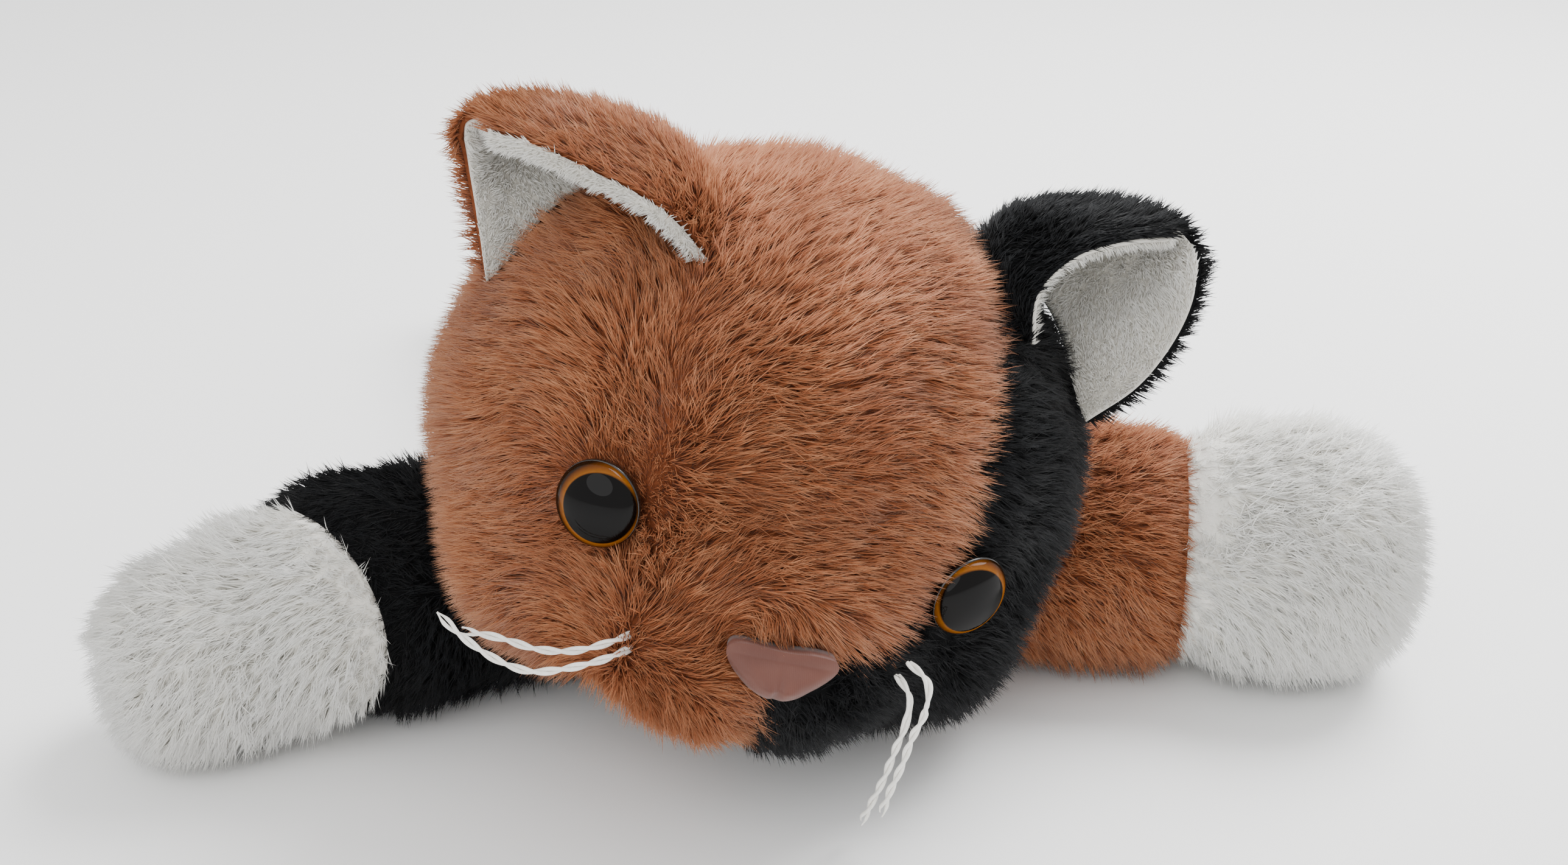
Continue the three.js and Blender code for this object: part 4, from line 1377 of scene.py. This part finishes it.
# ---- whiskers ----
whiskerSettings = {
    "diameter": 1.4, "plyRadius": 0.36, "twistEvery": 9.5, "points": 30, "steps": 120, "sides": 8,
    "routes": {
        "whisker_right_upper": [(-24, -142.5, 44.5), (-30, -145, 43.6), (-36, -145.5, 42.6), (-42, -144, 42.4),
                                (-48, -142, 43.6), (-54.5, -140.5, 44.6)],
        "whisker_right_lower": [(-24.6, -143, 42), (-31, -147, 41.6), (-37, -149, 41.4), (-43, -148.4, 40.8),
                                (-49, -146, 42.2), (-54.5, -143.6, 45.6), (-58, -142, 49)],
        "whisker_left_upper": [(20, -145.4, 37.4), (22.6, -150, 36), (22, -151.8, 31.6), (20, -151.4, 26.4),
                               (18.6, -150.4, 20.4), (17, -148.8, 14.4), (15.6, -147.4, 8.4)],
        "whisker_left_lower": [(18, -146, 35.4), (19.6, -149.8, 33.4), (19, -150.4, 28.6), (17.4, -149.8, 23),
                               (16, -148.4, 17), (14.4, -146.4, 11), (12.6, -144, 4.4)],
    },
}


def yarnMaterial():
    yarn = newMaterial("whiskerYarn", linear(240, 238, 230), 0.75)
    tree = yarn.node_tree
    shader = tree.nodes["Principled BSDF"]
    shader.inputs["Sheen Weight"].default_value = 0.3
    place = node(tree, "ShaderNodeTexCoord")
    fibre = node(tree, "ShaderNodeTexNoise", Scale=1600.0, Detail=3.0, Roughness=0.65)
    tree.links.new(place.outputs["Object"], fibre.inputs["Vector"])
    tree.links.new(blendColour(tree, fibre.outputs["Fac"], linear(214, 210, 198), linear(252, 251, 247)),
                   shader.inputs["Base Color"])
    bump = node(tree, "ShaderNodeBump", Strength=0.5, Distance=0.0002)
    tree.links.new(fibre.outputs["Fac"], bump.inputs["Height"])
    tree.links.new(bump.outputs[0], shader.inputs["Normal"])
    return yarn


def addWhiskers():
    s = whiskerSettings
    yarn = yarnMaterial()
    for name, route in s["routes"].items():
        line = alongLine(route, np.linspace(0, 1, s["steps"]))
        ahead = unit(np.gradient(line, axis=0))
        run = np.concatenate([[0], np.cumsum(np.linalg.norm(np.diff(line, axis=0), axis=1))])
        side = unit(np.cross(ahead, [0.3, 0.2, 1.0]))
        up = np.cross(ahead, side)
        points, faces = [], []
        for ply in range(2):
            phase = run / s["twistEvery"] * 2 * math.pi + ply * math.pi
            loosen = 1 + 0.5 * np.clip((run - run[-1] + 5) / 5, 0, 1)
            orbit = s["plyRadius"] * loosen
            centre = line + (side * np.cos(phase)[:, None] + up * np.sin(phase)[:, None]) * orbit[:, None]
            thin = s["plyRadius"] * np.clip((run[-1] - run) / 2.0, 0.45, 1)
            start = len(points)
            for i in range(s["steps"]):
                for j in range(s["sides"]):
                    a = j / s["sides"] * 2 * math.pi
                    points.append(centre[i] + (side[i] * math.cos(a) + up[i] * math.sin(a)) * thin[i])
            for i in range(s["steps"] - 1):
                for j in range(s["sides"]):
                    k = (j + 1) % s["sides"]
                    row = start + i * s["sides"]
                    faces.append((row + j, row + k, row + s["sides"] + k, row + s["sides"] + j))
            faces.append(tuple(start + j for j in range(s["sides"]))[::-1])
            last = start + (s["steps"] - 1) * s["sides"]
            faces.append(tuple(last + j for j in range(s["sides"])))
        piece = meshFrom(name.replace("whisker_", "yarn_"), points, faces)
        faceOut(piece.data)
        piece.data.shade_smooth()
        piece.data.materials.append(yarn)
        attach(piece, "head")
        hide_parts(name)
        print(name, "length", round(float(run[-1]), 1), "mm")


# ---- inside parts that stay as the CAD has them ----
def insideMaterial(name, colour, roughness, scale, strength):
    material = newMaterial(name, colour, roughness)
    tree = material.node_tree
    shader = tree.nodes["Principled BSDF"]
    place = node(tree, "ShaderNodeTexCoord")
    grain = node(tree, "ShaderNodeTexNoise", Scale=scale, Detail=4.0)
    tree.links.new(place.outputs["Object"], grain.inputs["Vector"])
    tree.links.new(blendColour(tree, grain.outputs["Fac"], tuple(c * 0.85 for c in colour), colour),
                   shader.inputs["Base Color"])
    bump = node(tree, "ShaderNodeBump", Strength=strength, Distance=0.0003)
    tree.links.new(grain.outputs["Fac"], bump.inputs["Height"])
    tree.links.new(bump.outputs[0], shader.inputs["Normal"])
    return material


def paintNode(name, material):
    mesh = frame["nodes"][name].data
    mesh.materials.clear()
    mesh.materials.append(material)


def addInside():
    washer = insideMaterial("washerPlastic", linear(216, 216, 212), 0.45, 500.0, 0.1)
    cotton = insideMaterial("pelletCotton", linear(207, 200, 184), 0.9, 1500.0, 0.6)
    for name in ("eye_washer_right", "eye_washer_left", "nose_washer"):
        paintNode(name, washer)
    paintNode("pellet_bag", cotton)


addWhiskers()
addHead()
for front in (True, False):
    for left in (False, True):
        addLeg(front, left)
print("legs ready")
addTorso()
addNeck()
addTail()
addEar("right")
addEar("left")
addEyes()
addNose()
addInside()

triangles = 0
for piece in bpy.context.scene.objects:
    if piece.type == "MESH" and not piece.hide_render:
        triangles += sum(len(f.vertices) - 2 for f in piece.data.polygons)
print("triangles", triangles)
